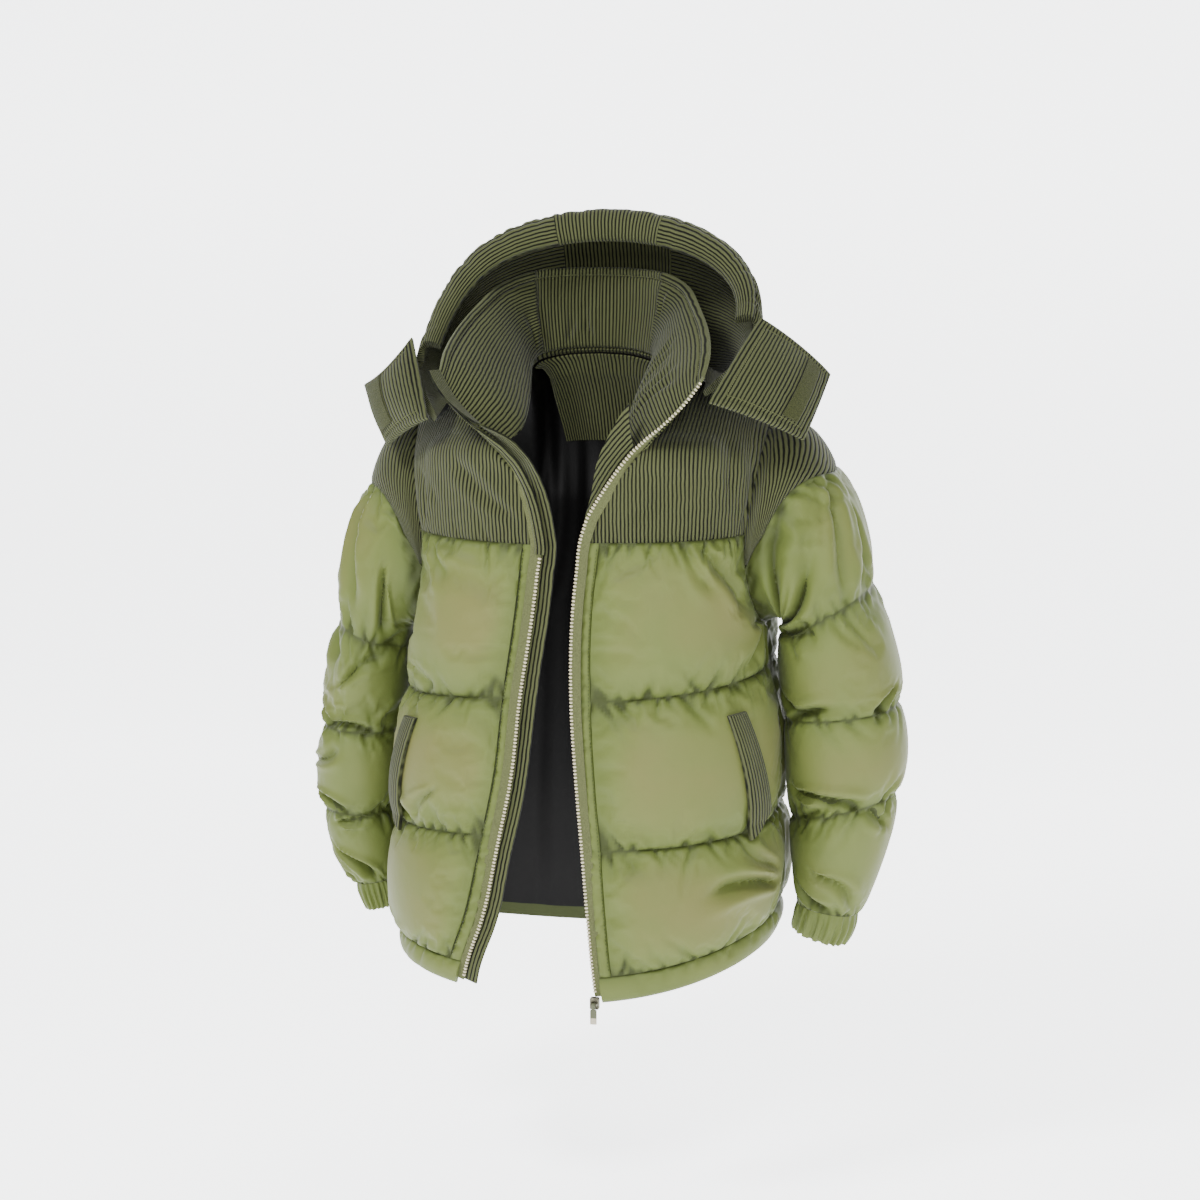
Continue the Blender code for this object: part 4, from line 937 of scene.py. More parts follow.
# Folds of each sleeve: from and to as turn and row, half width, and depth before the fold scale multiplies
# both. The front faces -90.
SLEEVE_FOLDS = {
    1: (
        (-150, 0.55, -60, 0.30, 0.012, 0.006),
        (-160, 0.75, -75, 0.62, 0.010, 0.007),
        (-165, 0.95, -95, 1.10, 0.011, 0.008),
        (-30, 0.55, -62, 0.98, 0.009, 0.004),
        (-15, 0.70, -35, 1.02, 0.008, 0.004),
        (-160, 1.70, -100, 1.95, 0.010, 0.006),
        (-150, 2.05, -80, 1.85, 0.009, 0.005),
        (-20, 1.75, -50, 2.10, 0.008, 0.005),
        (-140, 2.70, -60, 3.05, 0.009, 0.006),
        (-150, 3.00, -95, 2.80, 0.008, 0.004),
        (-25, 3.20, -60, 2.95, 0.008, 0.004),
        (-150, 3.60, -70, 3.96, 0.009, 0.006),
        (-110, 3.55, -40, 3.90, 0.008, 0.004),
        (60, 0.70, 130, 1.05, 0.011, 0.005),
        (140, 1.70, 80, 2.05, 0.010, 0.004),
        (60, 2.80, 120, 3.10, 0.009, 0.004),
    ),
    -1: (
        (-40, 0.45, -85, 0.88, 0.010, 0.006),
        (-100, 0.50, -125, 0.92, 0.009, 0.005),
        (-15, 0.80, -60, 1.20, 0.010, 0.006),
        (-70, 1.35, -130, 1.10, 0.009, 0.004),
        (-20, 1.60, -75, 2.05, 0.010, 0.007),
        (-60, 1.90, -130, 2.10, 0.009, 0.006),
        (-25, 2.40, -80, 2.15, 0.009, 0.004),
        (-30, 2.75, -90, 3.05, 0.009, 0.006),
        (-70, 3.10, -130, 2.90, 0.008, 0.005),
        (-50, 3.45, -110, 3.95, 0.009, 0.006),
        (-20, 3.50, -60, 3.90, 0.008, 0.004),
        (60, 0.70, 130, 1.05, 0.011, 0.005),
        (140, 1.70, 80, 2.05, 0.010, 0.004),
    ),
}
SLEEVE_GIRTH = 0.36
SLEEVE_DROP = 0.125  # of a baffle
FOLD_SCALE = (0.75, 2.1)


def sleeve(side, name):
    turns = np.linspace(0, 360, 160, endpoint=False)[None]
    starts = insert_reach(turns)
    first = np.linspace(0, 1, 46)[:, None]
    below = np.linspace(1, CUFF_SEAM, 112)[1:, None]
    rows = np.concatenate([starts + (1 - starts) * first, below + 0 * starts])
    part = np.concatenate([first + 0 * starts, below % 1 + 0 * starts])
    part[-1] = 1
    turns = np.broadcast_to(turns, rows.shape)
    points, facing = sleeve_point(side, turns, rows), sleeve_facing(side, turns, rows)
    bent = (turns + 180) % 360 - 180
    around = 0.1 + 0.9 * ((1 + np.cos(np.radians(bent))) / 2) ** 0.5
    slow = np.where((rows < 1) & (np.abs(bent) > 85), ease(rows, 0, 0.75), 1)
    full = swell(part) * around * slow
    girth = turns / 360 * SLEEVE_GIRTH
    puckers = 0 * full
    for seam, face in ((0, 1), *((seam, face) for seam in range(1, CUFF_SEAM + 1) for face in (-1, 1))):
        off = face * (rows - (seam or starts)) * SLEEVE_DROP
        puckers += seam_puckers(girth, off, 600 + side + 10 * seam + face, pitch=0.014) * (0.3 + 0.7 * around)
    inner, outer = raised(points, facing, WALL + SWELL_START * SLEEVE_PUFF * full + puckers, around=True)
    outer = settle(outer, facing, held_lines(rows, (1, 2, 3), around=True), around=True, cap=0.004)
    folds = np.array(SLEEVE_FOLDS[side]) * (*(SLEEVE_GIRTH / 360, SLEEVE_DROP) * 2, *FOLD_SCALE)
    hollows = creases(bent / 360 * SLEEVE_GIRTH, rows * SLEEVE_DROP, folds) * np.clip(full * 2, 0, 1)
    outer, inner = creased(outer, inner, facing, hollows)
    wide = wrapped(rows) * SLEEVE_DROP
    pattern = (np.linspace(0, SLEEVE_GIRTH, wide.shape[1])[None] + 0 * wide, wide)
    # Painted shade in the folds and puckers, over the padding's fullness, which the satin paints warm as a
    # reflection.
    shade = shaded(full, hollows, puckers)
    add_piece(name, outer, inner, pattern, satin, [name], around=True, full=shade)


def cuff(side, name):
    turns = np.broadcast_to(np.linspace(0, 360, 240, endpoint=False)[None], (21, 240))
    below = np.broadcast_to(np.linspace(0, 1, 21)[:, None], turns.shape)
    rows = CUFF_SEAM + below
    points, facing = sleeve_point(side, turns, rows), sleeve_facing(side, turns, rows)
    rng = np.random.default_rng(700 + side)
    wave = np.zeros(turns.shape)
    for _ in range(5):
        count, phase, lean = rng.integers(15, 30), rng.uniform(0, 6.28), rng.uniform(-1.2, 1.2)
        wave += np.cos(np.radians(turns) * count + phase + lean * below) / 5
    gather = CUFF_GATHER * np.clip(0.5 + 1.8 * wave, 0, 1)
    height = CUFF_WALL + gather * ease(below, 0.35, 0.25) + CUFF_PUFF * swell(below)
    deep = wrapped(rows) * CUFF_DEPTH
    flat = np.linspace(0, CUFF_GIRTH, deep.shape[1])[None] + 0 * deep
    sewn(name, points, facing, height, (flat, deep), satin, around=True, full=0 * rows + 0.3)


for side, word in ((1, "left"), (-1, "right")):
    sleeve(side, f"sleeve_{word}")
    cuff(side, f"cuff_{word}")


# ---- corduroy: yokes and shoulder inserts ----
# Dark olive corduroy, whose wales stand 4.2 mm apart and run down the jacket. The yokes carry little padding;
# the inserts cap the shoulders and run to a point at the front and at the back.


WALE_PITCH = 0.0042
YOKE_PUFF = 0.006
YOKE_HEIGHT = 0.14
YOKE_CENTRE = np.array([0, 0, -0.3])


def corduroy_material():
    """Wales side by side along the pattern's first coordinate, with painted shade in their grooves and lighter
    tops that are partly wear and partly a painted highlight.
    """
    made, tree, shader = new_material("corduroy", (0.011, 0.013, 0.005), 0.9, 0.08, specular=0.10)
    place = node(tree, "ShaderNodeUVMap", uv_map="pattern").outputs["UV"]
    across = node(tree, "ShaderNodeSeparateXYZ", [("Vector", place)]).outputs["X"]
    wander = node(tree, "ShaderNodeTexNoise", [("Vector", place)], in_Scale=70.0, in_Detail=1.0)
    count = multiply_add(tree, across, 1 / WALE_PITCH, multiply_add(tree, wander.outputs["Fac"], 0.35, 0.0))
    wave = node(tree, "ShaderNodeMath", [(0, count)], operation="PINGPONG")
    wave.inputs[1].default_value = 0.5
    ridge = node(tree, "ShaderNodeMapRange", [("Value", wave.outputs[0])], interpolation_type="SMOOTHSTEP")
    set_inputs(ridge, From_Min=0.05, From_Max=0.32)
    ridge = ridge.outputs["Result"]
    mottle, fine = grain(tree, 14.0, 700.0)
    worn_off = multiply_add(tree, mottle, 0.5, -0.25)
    shade = multiply_add(tree, ridge, 0.85, multiply_add(tree, fine, 0.25, worn_off))
    # The ridge mask paints light: the near-black groove is painted shade and the light crown is partly a
    # painted highlight, partly wear; the mottle and grain are the cloth's own tone.
    groove, flank, crown = (0.001, 0.001, 0.001), (0.011, 0.013, 0.005), (0.054, 0.060, 0.025)
    colour_ramp(tree, shader, shade, (0.08, groove), (0.42, flank), (0.90, crown))
    bump(tree, shader, multiply_add(tree, fine, 0.18, ridge), 0.9, 0.0011)
    return made


corduroy = corduroy_material()

LAPEL = {
    1: table(
        "x y z face_x face_y face_z",
        (0.029, -0.150, -0.140, 0.10, -0.99, -0.02),
        (0.045, -0.152, -0.112, 0.25, -0.95, -0.05),
        (0.062, -0.152, -0.086, 0.44, -0.88, -0.10),
    ),
    -1: table(
        "x y z face_x face_y face_z",
        (-0.041, -0.150, -0.140, -0.08, -0.99, -0.02),
        (-0.048, -0.152, -0.112, -0.20, -0.96, -0.05),
        (-0.060, -0.152, -0.086, -0.42, -0.90, -0.10),
    ),
}
NECK = table(
    "x y z top_x top_y top_z face_x face_y face_z",
    (0.077, -0.150, -0.066, 0.147, -0.140, 0.014, 0.62, -0.72, -0.20),
    (0.061, -0.110, -0.050, 0.149, -0.105, 0.036, 0.35, -0.40, 0.85),
    (0.061, -0.058, -0.029, 0.143, -0.060, 0.058, 0.25, -0.15, 0.96),
    (0.067, -0.012, -0.010, 0.129, -0.010, 0.081, 0.22, -0.05, 0.97),
    (0.073, 0.030, 0.005, 0.111, 0.040, 0.102, 0.20, 0.05, 0.97),
    (0.068, 0.064, 0.017, 0.078, 0.074, 0.116, 0.15, 0.45, 0.88),
    (0.038, 0.082, 0.024, 0.040, 0.088, 0.120, 0.05, 0.60, 0.80),
    (0.000, 0.086, 0.026, 0.000, 0.091, 0.121, 0.00, 0.65, 0.76),
)
SHOULDER_MARK = 4
BACK_MARK = 7
NECK_TWIST = -0.014
SHOULDER_ARCH = 0.010
LAPEL_ROWS = 3
YOKE_ROWS = np.array((0, 13, 26, 39, 52, 65, 78, 90)) / 90
CORNERS = {1: 0, -1: 2 * BACK_MARK}  # the neckline's front corners


def neck_rows(marks, *names):
    """The neckline's columns at marks, which run from its left front corner, 0, to the right one."""
    marks = np.asarray(marks, float)
    mirrored = np.minimum(marks, 2 * BACK_MARK - marks)
    rows = smooth(np.arange(BACK_MARK + 1), columns(NECK, *names), mirrored)
    rows[..., 0] *= np.where(marks > BACK_MARK, -1, 1)
    return rows


def twisted(points):
    """Shifts the back of the neck to the wearer's right, and leaves the front corners."""
    share = np.clip((points[..., 1] + 0.15) / 0.24, 0, 1)
    moved = points.copy()
    moved[..., 0] += NECK_TWIST * share**2 * (3 - 2 * share)
    return moved


def neck_point(marks):
    return twisted(neck_rows(marks, "x", "y", "z"))


def neck_facing(marks):
    return unit(neck_rows(marks, "face_x", "face_y", "face_z"))


def lapel_curve(side, steps):
    """The front edge from the yoke seam to the neck corner, with the way its wall faces."""
    start = edge_angle(side, 0.0, 0)
    corner = CORNERS[side]
    points = [body_point(start, 0.0), *columns(LAPEL[side], "x", "y", "z"), neck_point(corner)]
    ways = columns(LAPEL[side], "face_x", "face_y", "face_z")
    facing = [body_facing(start, 0.0), *ways, neck_facing(corner)]
    places, at = np.linspace(0, 1, len(points)), np.linspace(0, 1, steps + 1)
    return smooth(places, points, at), unit(smooth(places, facing, at))


def shoulder_line(side, shares):
    """Points and wall directions from the neck to the shoulder tip."""
    mark = SHOULDER_MARK if side > 0 else 2 * BACK_MARK - SHOULDER_MARK
    neck, tip = neck_point(mark), np.array(SHOULDER_TIP) * (side, 1, 1)
    shares = np.asarray(shares, float)[:, None]
    facing = neck_facing(mark) * (1 - shares) + armhole_facing(side, 0) * shares
    arch = np.array([0, 0, SHOULDER_ARCH]) * np.sin(np.pi * shares)
    return neck * (1 - shares) + tip * shares + arch, facing


def patch(bottom, top, left, right, across, up):
    """The surface spanned by four edges that meet at its corners."""
    u, v = across[None, :, None], up[:, None, None]
    sides = (1 - u) * left[:, None] + u * right[:, None]
    ends = (1 - v) * bottom[None] + v * top[None]
    low = (1 - u) * bottom[0] + u * bottom[-1]
    high = (1 - u) * top[0] + u * top[-1]
    return sides + ends - (1 - v) * low - v * high


def upright(points):
    """A yoke's pattern across, read from each point's place over the seam, so that wales stay straight."""
    seam = points[0]
    length = np.append(0, np.cumsum(np.linalg.norm(np.diff(seam, axis=0), axis=1)))
    if seam[0, 0] > seam[-1, 0]:
        seam, length = seam[::-1], -length[::-1]
    x = points[..., 0]
    beyond = x - np.clip(x, seam[0, 0], seam[-1, 0])
    return np.interp(x, seam[:, 0], length) + beyond


def edged(facing, bottom, top, left, right, across, up):
    """Leads a yoke's wall to the ways that it shares with its neighbours."""
    u, v = np.broadcast_arrays(across[None], up[:, None])
    for ways, shares in ((bottom[None], v), (top[None], 1 - v), (left[:, None], u), (right[:, None], 1 - u)):
        facing = lead_in(facing, ways, shares, 0.10)
    return facing


def yoke(name, points, facing, up, seed, folds=()):
    """A lightly padded yoke on its wall, with short puckers over its lower seam and listed folds."""
    along, down = spans(points)
    across = np.linspace(0, 1, points.shape[1])
    full = swell(across)[None] * swell(up)[:, None]
    height = WALL + YOKE_PUFF * full
    height = height + pinches(along, up[:, None] * YOKE_HEIGHT, seed, reach=0.014, depth=0.0025)
    height = height + creases(along, down, folds) * np.clip(full * 3, 0, 1)
    inner, outer = raised(points, facing, height)
    add_piece(name, outer, inner, (upright(inner), down), corduroy, [name])


YOKE_FOLDS = {
    1: (
        (0.150, 0.020, 0.138, 0.110, 0.008, 0.005),
        (0.120, 0.060, 0.112, 0.130, 0.009, 0.003),
        (0.030, 0.020, 0.055, 0.080, 0.009, 0.003),
    ),
    -1: (
        (0.020, 0.030, 0.060, 0.100, 0.009, 0.004),
        (0.130, 0.015, 0.128, 0.095, 0.007, 0.004),
        (0.100, 0.040, 0.105, 0.120, 0.009, 0.002),
    ),
}


def front_yoke(side, name):
    start, end = edge_angle(side, 0.0, 0), side_angle(side, -1, 0.0)
    across, up = np.linspace(0, 1, 91), np.linspace(0, 1, 61)
    angles = start + (end - start) * across
    lapel, lapel_facing = lapel_curve(side, LAPEL_ROWS)
    marks = np.linspace(0, SHOULDER_MARK, len(YOKE_ROWS) - LAPEL_ROWS)
    marks = marks if side > 0 else 2 * BACK_MARK - marks
    inner = smooth(YOKE_ROWS, np.concatenate([lapel[:-1], neck_point(marks)]), up)
    inner_way = smooth(YOKE_ROWS, np.concatenate([lapel_facing[:-1], neck_facing(marks)]), up)
    turns = -90 * (1 - up)
    armhole = np.array([armhole_point(side, turn) for turn in turns.tolist()])
    top, top_way = shoulder_line(side, across)
    points = patch(body_point(angles, 0.0), top, inner, armhole, across, up)
    facing = grid_facing(points, YOKE_CENTRE)
    ways = (body_facing(angles, 0.0), top_way, inner_way, armhole_facing(side, turns))
    facing = edged(facing, *ways, across, up)
    yoke(name, points, facing, up, 800 + side, YOKE_FOLDS[side])


def back_yoke_surface(across, up):
    """Points and wall directions of the back yoke; the neckline takes the middle of its top edge."""
    start, end = side_angle(1, 1, 0.0), side_angle(-1, 1, 0.0)
    first, last = 0.29, 0.71
    angles = start + (end - start) * across
    turns = 90 * (1 - up)
    left = np.array([armhole_point(1, turn) for turn in turns.tolist()])
    right = np.array([armhole_point(-1, turn) for turn in turns.tolist()])
    left_top, left_way = shoulder_line(1, np.clip(1 - across / first, 0, 1))
    right_top, right_way = shoulder_line(-1, np.clip((across - last) / (1 - last), 0, 1))
    marks = SHOULDER_MARK + np.clip((across - first) / (last - first), 0, 1) * 2 * (BACK_MARK - SHOULDER_MARK)
    in_left, in_right = (across < first)[:, None], (across > last)[:, None]
    top = np.where(in_left, left_top, np.where(in_right, right_top, neck_point(marks)))
    top_way = np.where(in_left, left_way, np.where(in_right, right_way, neck_facing(marks)))
    points = patch(body_point(angles, 0.0), top, left, right, across, up)
    facing = grid_facing(points, YOKE_CENTRE)
    ways = (body_facing(angles, 0.0), top_way, armhole_facing(1, turns), armhole_facing(-1, turns))
    return points, edged(facing, *ways, across, up)


def back_yoke():
    across, up = np.linspace(0, 1, 131), np.linspace(0, 1, 49)
    points, facing = back_yoke_surface(across, up)
    yoke("yoke_back", points, facing, up, 820)


def shoulder_insert(side, name):
    turns, shares = np.meshgrid(np.linspace(-INSERT_END, INSERT_END, 109), np.linspace(0, 1, 25))
    rows = insert_reach(turns) * shares
    points, facing = sleeve_point(side, turns, rows), sleeve_facing(side, turns, rows)
    along, down = spans(points)
    height = WALL + YOKE_PUFF * (swell(shares) * swell((turns / INSERT_END + 1) / 2))
    height = height + pinches(along, shares * 0.05, 840 + side, reach=0.012, depth=0.0012)
    sewn(name, points, facing, height, (down + along * 0.35, along), corduroy)


for side, word in ((1, "left"), (-1, "right")):
    front_yoke(side, f"yoke_front_{word}")
    shoulder_insert(side, f"shoulder_insert_{word}")
back_yoke()


# ---- stand-up collar ----
# Padded corduroy, wide open at the front and leaning outwards. Its wales run up the back and lie level round
# the two full sides; a stitched rim runs along the upper edge.


def collar_point(marks, heights):
    marks, heights = np.broadcast_arrays(np.asarray(marks, float), np.asarray(heights, float))
    foot = neck_point(marks) + neck_facing(marks) * (WALL + 0.00045)
    head = twisted(neck_rows(marks, "top_x", "top_y", "top_z"))
    lean = heights[..., None]
    out = unit(head * (1, 1, 0))
    return foot * (1 - lean) + head * lean + out * 0.007 * np.sin(np.pi * lean)


def collar_grid(marks, heights):
    """Points of the collar's outer face and the ways out of it, which are the neckline's at the corners."""
    marks, heights = np.asarray(marks, float)[None], np.asarray(heights, float)[:, None]
    points = collar_point(marks, heights)
    facing = grid_facing(points, np.array([0, -0.03, 0.05]))
    for corner in CORNERS.values():
        near = (np.clip(1 - np.abs(marks - corner) / 2, 0, 1) * (1 - heights) ** 2)[..., None]
        facing = unit(facing * (1 - near) + neck_facing(corner) * near)
    return points, facing


COLLAR_FOLDS = (
    (0.045, 0.015, 0.035, 0.075, 0.006, 0.004),
    (0.075, 0.010, 0.070, 0.070, 0.007, 0.004),
    (0.105, 0.015, 0.110, 0.065, 0.006, 0.003),
    (0.140, 0.020, 0.135, 0.070, 0.006, 0.003),
    (0.235, 0.060, 0.238, 0.095, 0.004, 0.003),
    (0.250, 0.060, 0.251, 0.095, 0.004, 0.003),
    (0.345, 0.015, 0.350, 0.070, 0.006, 0.004),
    (0.375, 0.010, 0.372, 0.070, 0.007, 0.004),
    (0.410, 0.020, 0.405, 0.075, 0.006, 0.003),
    (0.440, 0.015, 0.445, 0.065, 0.006, 0.003),
)
COLLAR_SIDE = 1.85  # marks from the centre back to where the full side begins
RIM_START, RIM_ROW = 0.9, 55


def collar():
    """Makes the collar, and returns the line of its stitched rim with the ways out of it."""
    marks, heights = np.linspace(0, 2 * BACK_MARK, 261)[None], np.linspace(0, 1, 61)[:, None]
    points, facing = collar_grid(marks[0], heights[:, 0])
    along, down = spans(points)
    share = marks / (2 * BACK_MARK)
    ends = ease(share, 0.15, 0.07) * ease(1 - share, 0.15, 0.07)
    at_side = np.clip((np.abs(marks - BACK_MARK) - COLLAR_SIDE) / 0.25, 0, 1)
    lobes = 0.45 + 0.55 * at_side
    above = swell((heights - RIM_START) / (1 - RIM_START)) * 0.35
    rim = np.where(heights > RIM_START, above, swell(heights / RIM_START))
    inward = 0.004 * ease(ends, 0.6, 0.5) + 0.013 * rim * ends * lobes
    inward = inward + creases(along, down, COLLAR_FOLDS) * np.clip(rim * ends * 2, 0, 1)
    inner = points - facing * np.clip(inward, 0.002, None)[..., None]
    wale = np.where(at_side + 0 * heights > 0.5, down, along)
    add_piece("collar", points, inner, (wale, along), corduroy, ["collar"])
    return inner[RIM_ROW, 4:-4], facing[RIM_ROW, 4:-4]


collar_rim, collar_rim_ways = collar()


# ---- hood ----
# Padded corduroy in three panels, standing back from the collar. The casing along its rim is the fullest
# part; the centre panel's wales run from the rim to the neck, and the side panels' follow the rim.


HOOD = table(
    "s width side_y back_y side_z back_z",
    (0.0, 0.168, -0.040, 0.046, 0.066, 0.152),
    (0.2, 0.180, -0.038, 0.054, 0.068, 0.172),
    (1.0, 0.190, -0.046, 0.118, 0.050, 0.166),
    (2.0, 0.186, -0.070, 0.168, 0.034, 0.078),
    (3.0, 0.170, -0.100, 0.155, 0.018, -0.008),
    (4.0, 0.148, -0.132, 0.116, -0.002, 0.046),
)
HOOD_RIM, HOOD_FOOT = 0.40, 4.0
HOOD_LEAN = 0.009
HOOD_TWIST = -0.022
HOOD_DROP = 0.034
HOOD_WALL = 0.005
RIM_PUFF, HOOD_PUFF, INNER_PUFF = 0.007, 0.003, 0.0035
HOOD_ROW = 0.09  # the length of a row
SIDE_STRETCH = 1.3  # the side panels' wales stand closer by this


HOOD_PANELS = (
    ("hood_side_left", 0.5, 70, 90, 900),
    ("hood_centre", 70, 110, 60, 910),
    ("hood_side_right", 110, 179.5, 90, 920),
)


def hood_surface(degrees, rows):
    """Points of the hood: degrees run over the head from the wearer's left, rows from the rim to the neck."""
    turns = np.radians(np.asarray(degrees, float))[None]
    rows = np.asarray(rows, float)
    spans_at = smooth(HOOD["s"], columns(HOOD, "width", "side_y", "back_y", "side_z", "back_z"), rows)
    width, side_y, back_y, side_z, back_z = (spans_at[:, k : k + 1] for k in range(5))
    lift = np.sin(turns) ** 0.95
    x = width * np.cos(turns) - 0.004 + (HOOD_LEAN + HOOD_TWIST * rows[:, None] / rows[-1]) * lift
    z = side_z + (back_z - side_z) * lift - HOOD_DROP * np.clip(-np.cos(turns), 0, 1) ** 8
    return np.stack([x, side_y + (back_y - side_y) * lift, z], -1)


def hood():
    rows = np.concatenate([np.linspace(0, HOOD_RIM, 19), np.linspace(HOOD_RIM, HOOD_FOOT, 100)[1:]])
    level = rows[:, None]
    behind = swell((level - HOOD_RIM) / (HOOD_FOOT - HOOD_RIM)) * HOOD_PUFF
    puff = np.where(level <= HOOD_RIM, swell(level / HOOD_RIM) * RIM_PUFF, behind)
    for name, start, end, cols, seed in HOOD_PANELS:
        points = hood_surface(np.linspace(start, end, cols), rows)
        facing = grid_facing(points, np.array([0, 0.06, 0.05]))
        along, down = spans(points)
        gathers = pinches(along, np.abs(level - HOOD_RIM) * HOOD_ROW, seed, reach=0.018, depth=0.0030)
        points = closed_in(points)
        outer = points + facing * np.clip(HOOD_WALL + puff + gathers, 0.002, None)[..., None]
        inner = points - facing * (INNER_PUFF * swell(level / HOOD_FOOT) + 0.5 * gathers)[..., None]
        pattern = (along, down) if name == "hood_centre" else (down * SIDE_STRETCH, along)
        add_piece(name, outer, inner, pattern, corduroy, [name])


hood()


# ---- throat flaps with their hook and loop strips ----
# A padded flap turns out from each end of the hood's rim, stitched round its edge; the left one carries a
# strip of tape near its outer edge and the right one a patch.


FLAP = {
    1: ((0.192, -0.044, 0.071), (0.153, -0.146, -0.012), (0.246, -0.092, -0.055), (0.265, -0.022, 0.010)),
    -1: ((-0.202, -0.046, 0.044), (-0.158, -0.142, -0.036), (-0.217, -0.092, -0.072), (-0.262, -0.03, -0.01)),
}
FLAP_NOTCH = {1: 0.0, -1: 0.15}
FLAP_SHARES = np.linspace(0, 1, 61)
FLAP_WALL, FLAP_PUFF, FLAP_ARCH = 0.004, 0.007, 0.010
GROOVE, GROOVE_IN = 0.0016, 0.0075  # the stitched groove's depth and half width, and its place from the edge
CLOSURE_LIFTS = (0.0005, 0.0021)  # of a hook or loop tape's two faces over the flap


def flap_grid(side, cols, rows):
    """A flap's lower face, its ways and its thickness: cols run out from its root, and rows down its side."""
    root_top, root_front, out_front, out_top = (np.array(corner) for corner in FLAP[side])
    across, down = np.meshgrid(cols, rows)
    u, v = across[..., None], down[..., None]
    v = v + FLAP_NOTCH[side] * np.sin(np.pi * u) * (1 - v) ** 2
    flat = (1 - v) * ((1 - u) * root_top + u * out_top) + v * ((1 - u) * root_front + u * out_front)
    up = unit(np.cross(out_front - root_top, out_top - root_front))
    up = up * np.sign(up[2])
    points = flat + up * FLAP_ARCH * np.sin(np.pi * u) ** 0.7 * (0.5 + 0.5 * np.sin(np.pi * v))
    facing = grid_facing(points, points - up)
    edge = np.minimum(np.minimum(across, 1 - across) * 0.1, np.minimum(down, 1 - down) * 0.1)
    groove = GROOVE * np.exp(-(((edge - GROOVE_IN) / GROOVE) ** 2))
    return points, facing, FLAP_WALL + FLAP_PUFF * swell(across) * swell(down) - groove


def throat_flap(side, name):
    points, facing, height = flap_grid(side, FLAP_SHARES, FLAP_SHARES)
    along, down = spans(points)
    outer = points + facing * height[..., None]
    add_piece(name, outer, points, (along, down), corduroy, [name])


hook_tape, hook_tree, hook_shader, hook_pile = two_tone(
    "hook_tape",
    (0.03, 0.035, 0.012),
    0.95,
    (30.0, 1100.0),
    GRAIN,
    (0.012, 0.014, 0.005),
    (0.050, 0.056, 0.019),
    sheen=0.05,
    specular=0.1,
)
bump(hook_tree, hook_shader, hook_pile, 0.9, 0.0012)


def closure(side, name, cols, rows):
    points, facing, height = flap_grid(side, np.linspace(*cols, 16), np.linspace(*rows, 40))
    low, high = (points + facing * (height + lift)[..., None] for lift in CLOSURE_LIFTS)
    add_piece(name, high, low, spans(points), hook_tape, [name])


for side, word in ((1, "left"), (-1, "right")):
    throat_flap(side, f"hood_flap_{word}")
closure(1, "closure_left", (0.66, 0.83), (0.12, 0.88))
closure(-1, "closure_right", (0.55, 0.90), (0.10, 0.85))


# ---- lining and neck facing ----
# Thin near-black lining hangs in soft upright folds inside the body; a half moon of corduroy faces the back
# of the neck over it.


lining, *_ = two_tone(
    "lining",
    (0.001, 0.001, 0.001),
    0.45,
    (7.0, 500.0),
    MOTTLE,
    (0.0004, 0.0003, 0.0005),
    (0.0014, 0.0010, 0.0010),
    specular=0.12,
)

LINING_SPACE, LINING_FOLD, LINING_THICK = 0.004, 0.004, 0.001
LINING_FOOT = 3.45  # in rows


def hanging_folds(along, down, seed):
    """Soft upright folds, made of waves that lean a little each way."""
    rng = np.random.default_rng(seed)
    total = 0
    for _ in range(6):
        length, phase, lean = rng.uniform(0.03, 0.11), rng.uniform(0, 6.28), rng.uniform(-0.12, 0.12)
        total = total + np.sin((along + lean * down) / length * 6.28 + phase) / 6
    return total


def lining_panel(name, points, facing, seed, loose=1.0):
    """Loose is how freely each row hangs: 1 for all of it, and near 0 where it is sewn at the neck."""
    points = closed_in(points, gap=LINING_SPACE)
    along, down = spans(points)
    folds = LINING_FOLD * (hanging_folds(along, down, seed) - 1)
    near = points + facing * ((folds - LINING_SPACE) * loose)[..., None]
    made = add_piece(name, near, near - facing * LINING_THICK, (along, down), lining, [name])


def sample(grid, across, up, shares, rises):
    """Reads a grid between its points."""
    j = np.clip(np.searchsorted(across, shares) - 1, 0, len(across) - 2)
    i = np.clip(np.searchsorted(up, rises) - 1, 0, len(up) - 2)
    u = ((shares - across[j]) / (across[j + 1] - across[j]))[..., None]
    v = ((rises - up[i]) / (up[i + 1] - up[i]))[..., None]
    low = grid[i, j] * (1 - u) + grid[i, j + 1] * u
    high = grid[i + 1, j] * (1 - u) + grid[i + 1, j + 1] * u
    return low * (1 - v) + high * v


yoke_across, yoke_up = np.linspace(0, 1, 91), np.linspace(0, 1, 31)
yoke_inside, yoke_inside_ways = back_yoke_surface(yoke_across, yoke_up)
levels = np.linspace(0, LINING_FOOT, 70)
points, ways, _ = body_wall(side_edge(1, 1), side_edge(-1, 1), levels, yoke_across)
points, ways = np.concatenate([yoke_inside[:0:-1], points]), np.concatenate([yoke_inside_ways[:0:-1], ways])
loose = np.clip(np.arange(len(points)) / 7, 0.1, 1)[:, None]
lining_panel("lining_back", points, ways, 950, loose)

for side, word in ((1, "left"), (-1, "right")):
    levels = np.linspace(0.06, LINING_FOOT, 90)
    points, ways, _ = body_wall(zip_edge(side, 0.045), side_edge(side, -1), levels, np.linspace(0, 1, 40))
    lining_panel(f"lining_front_{word}", points, ways, 960 + side)


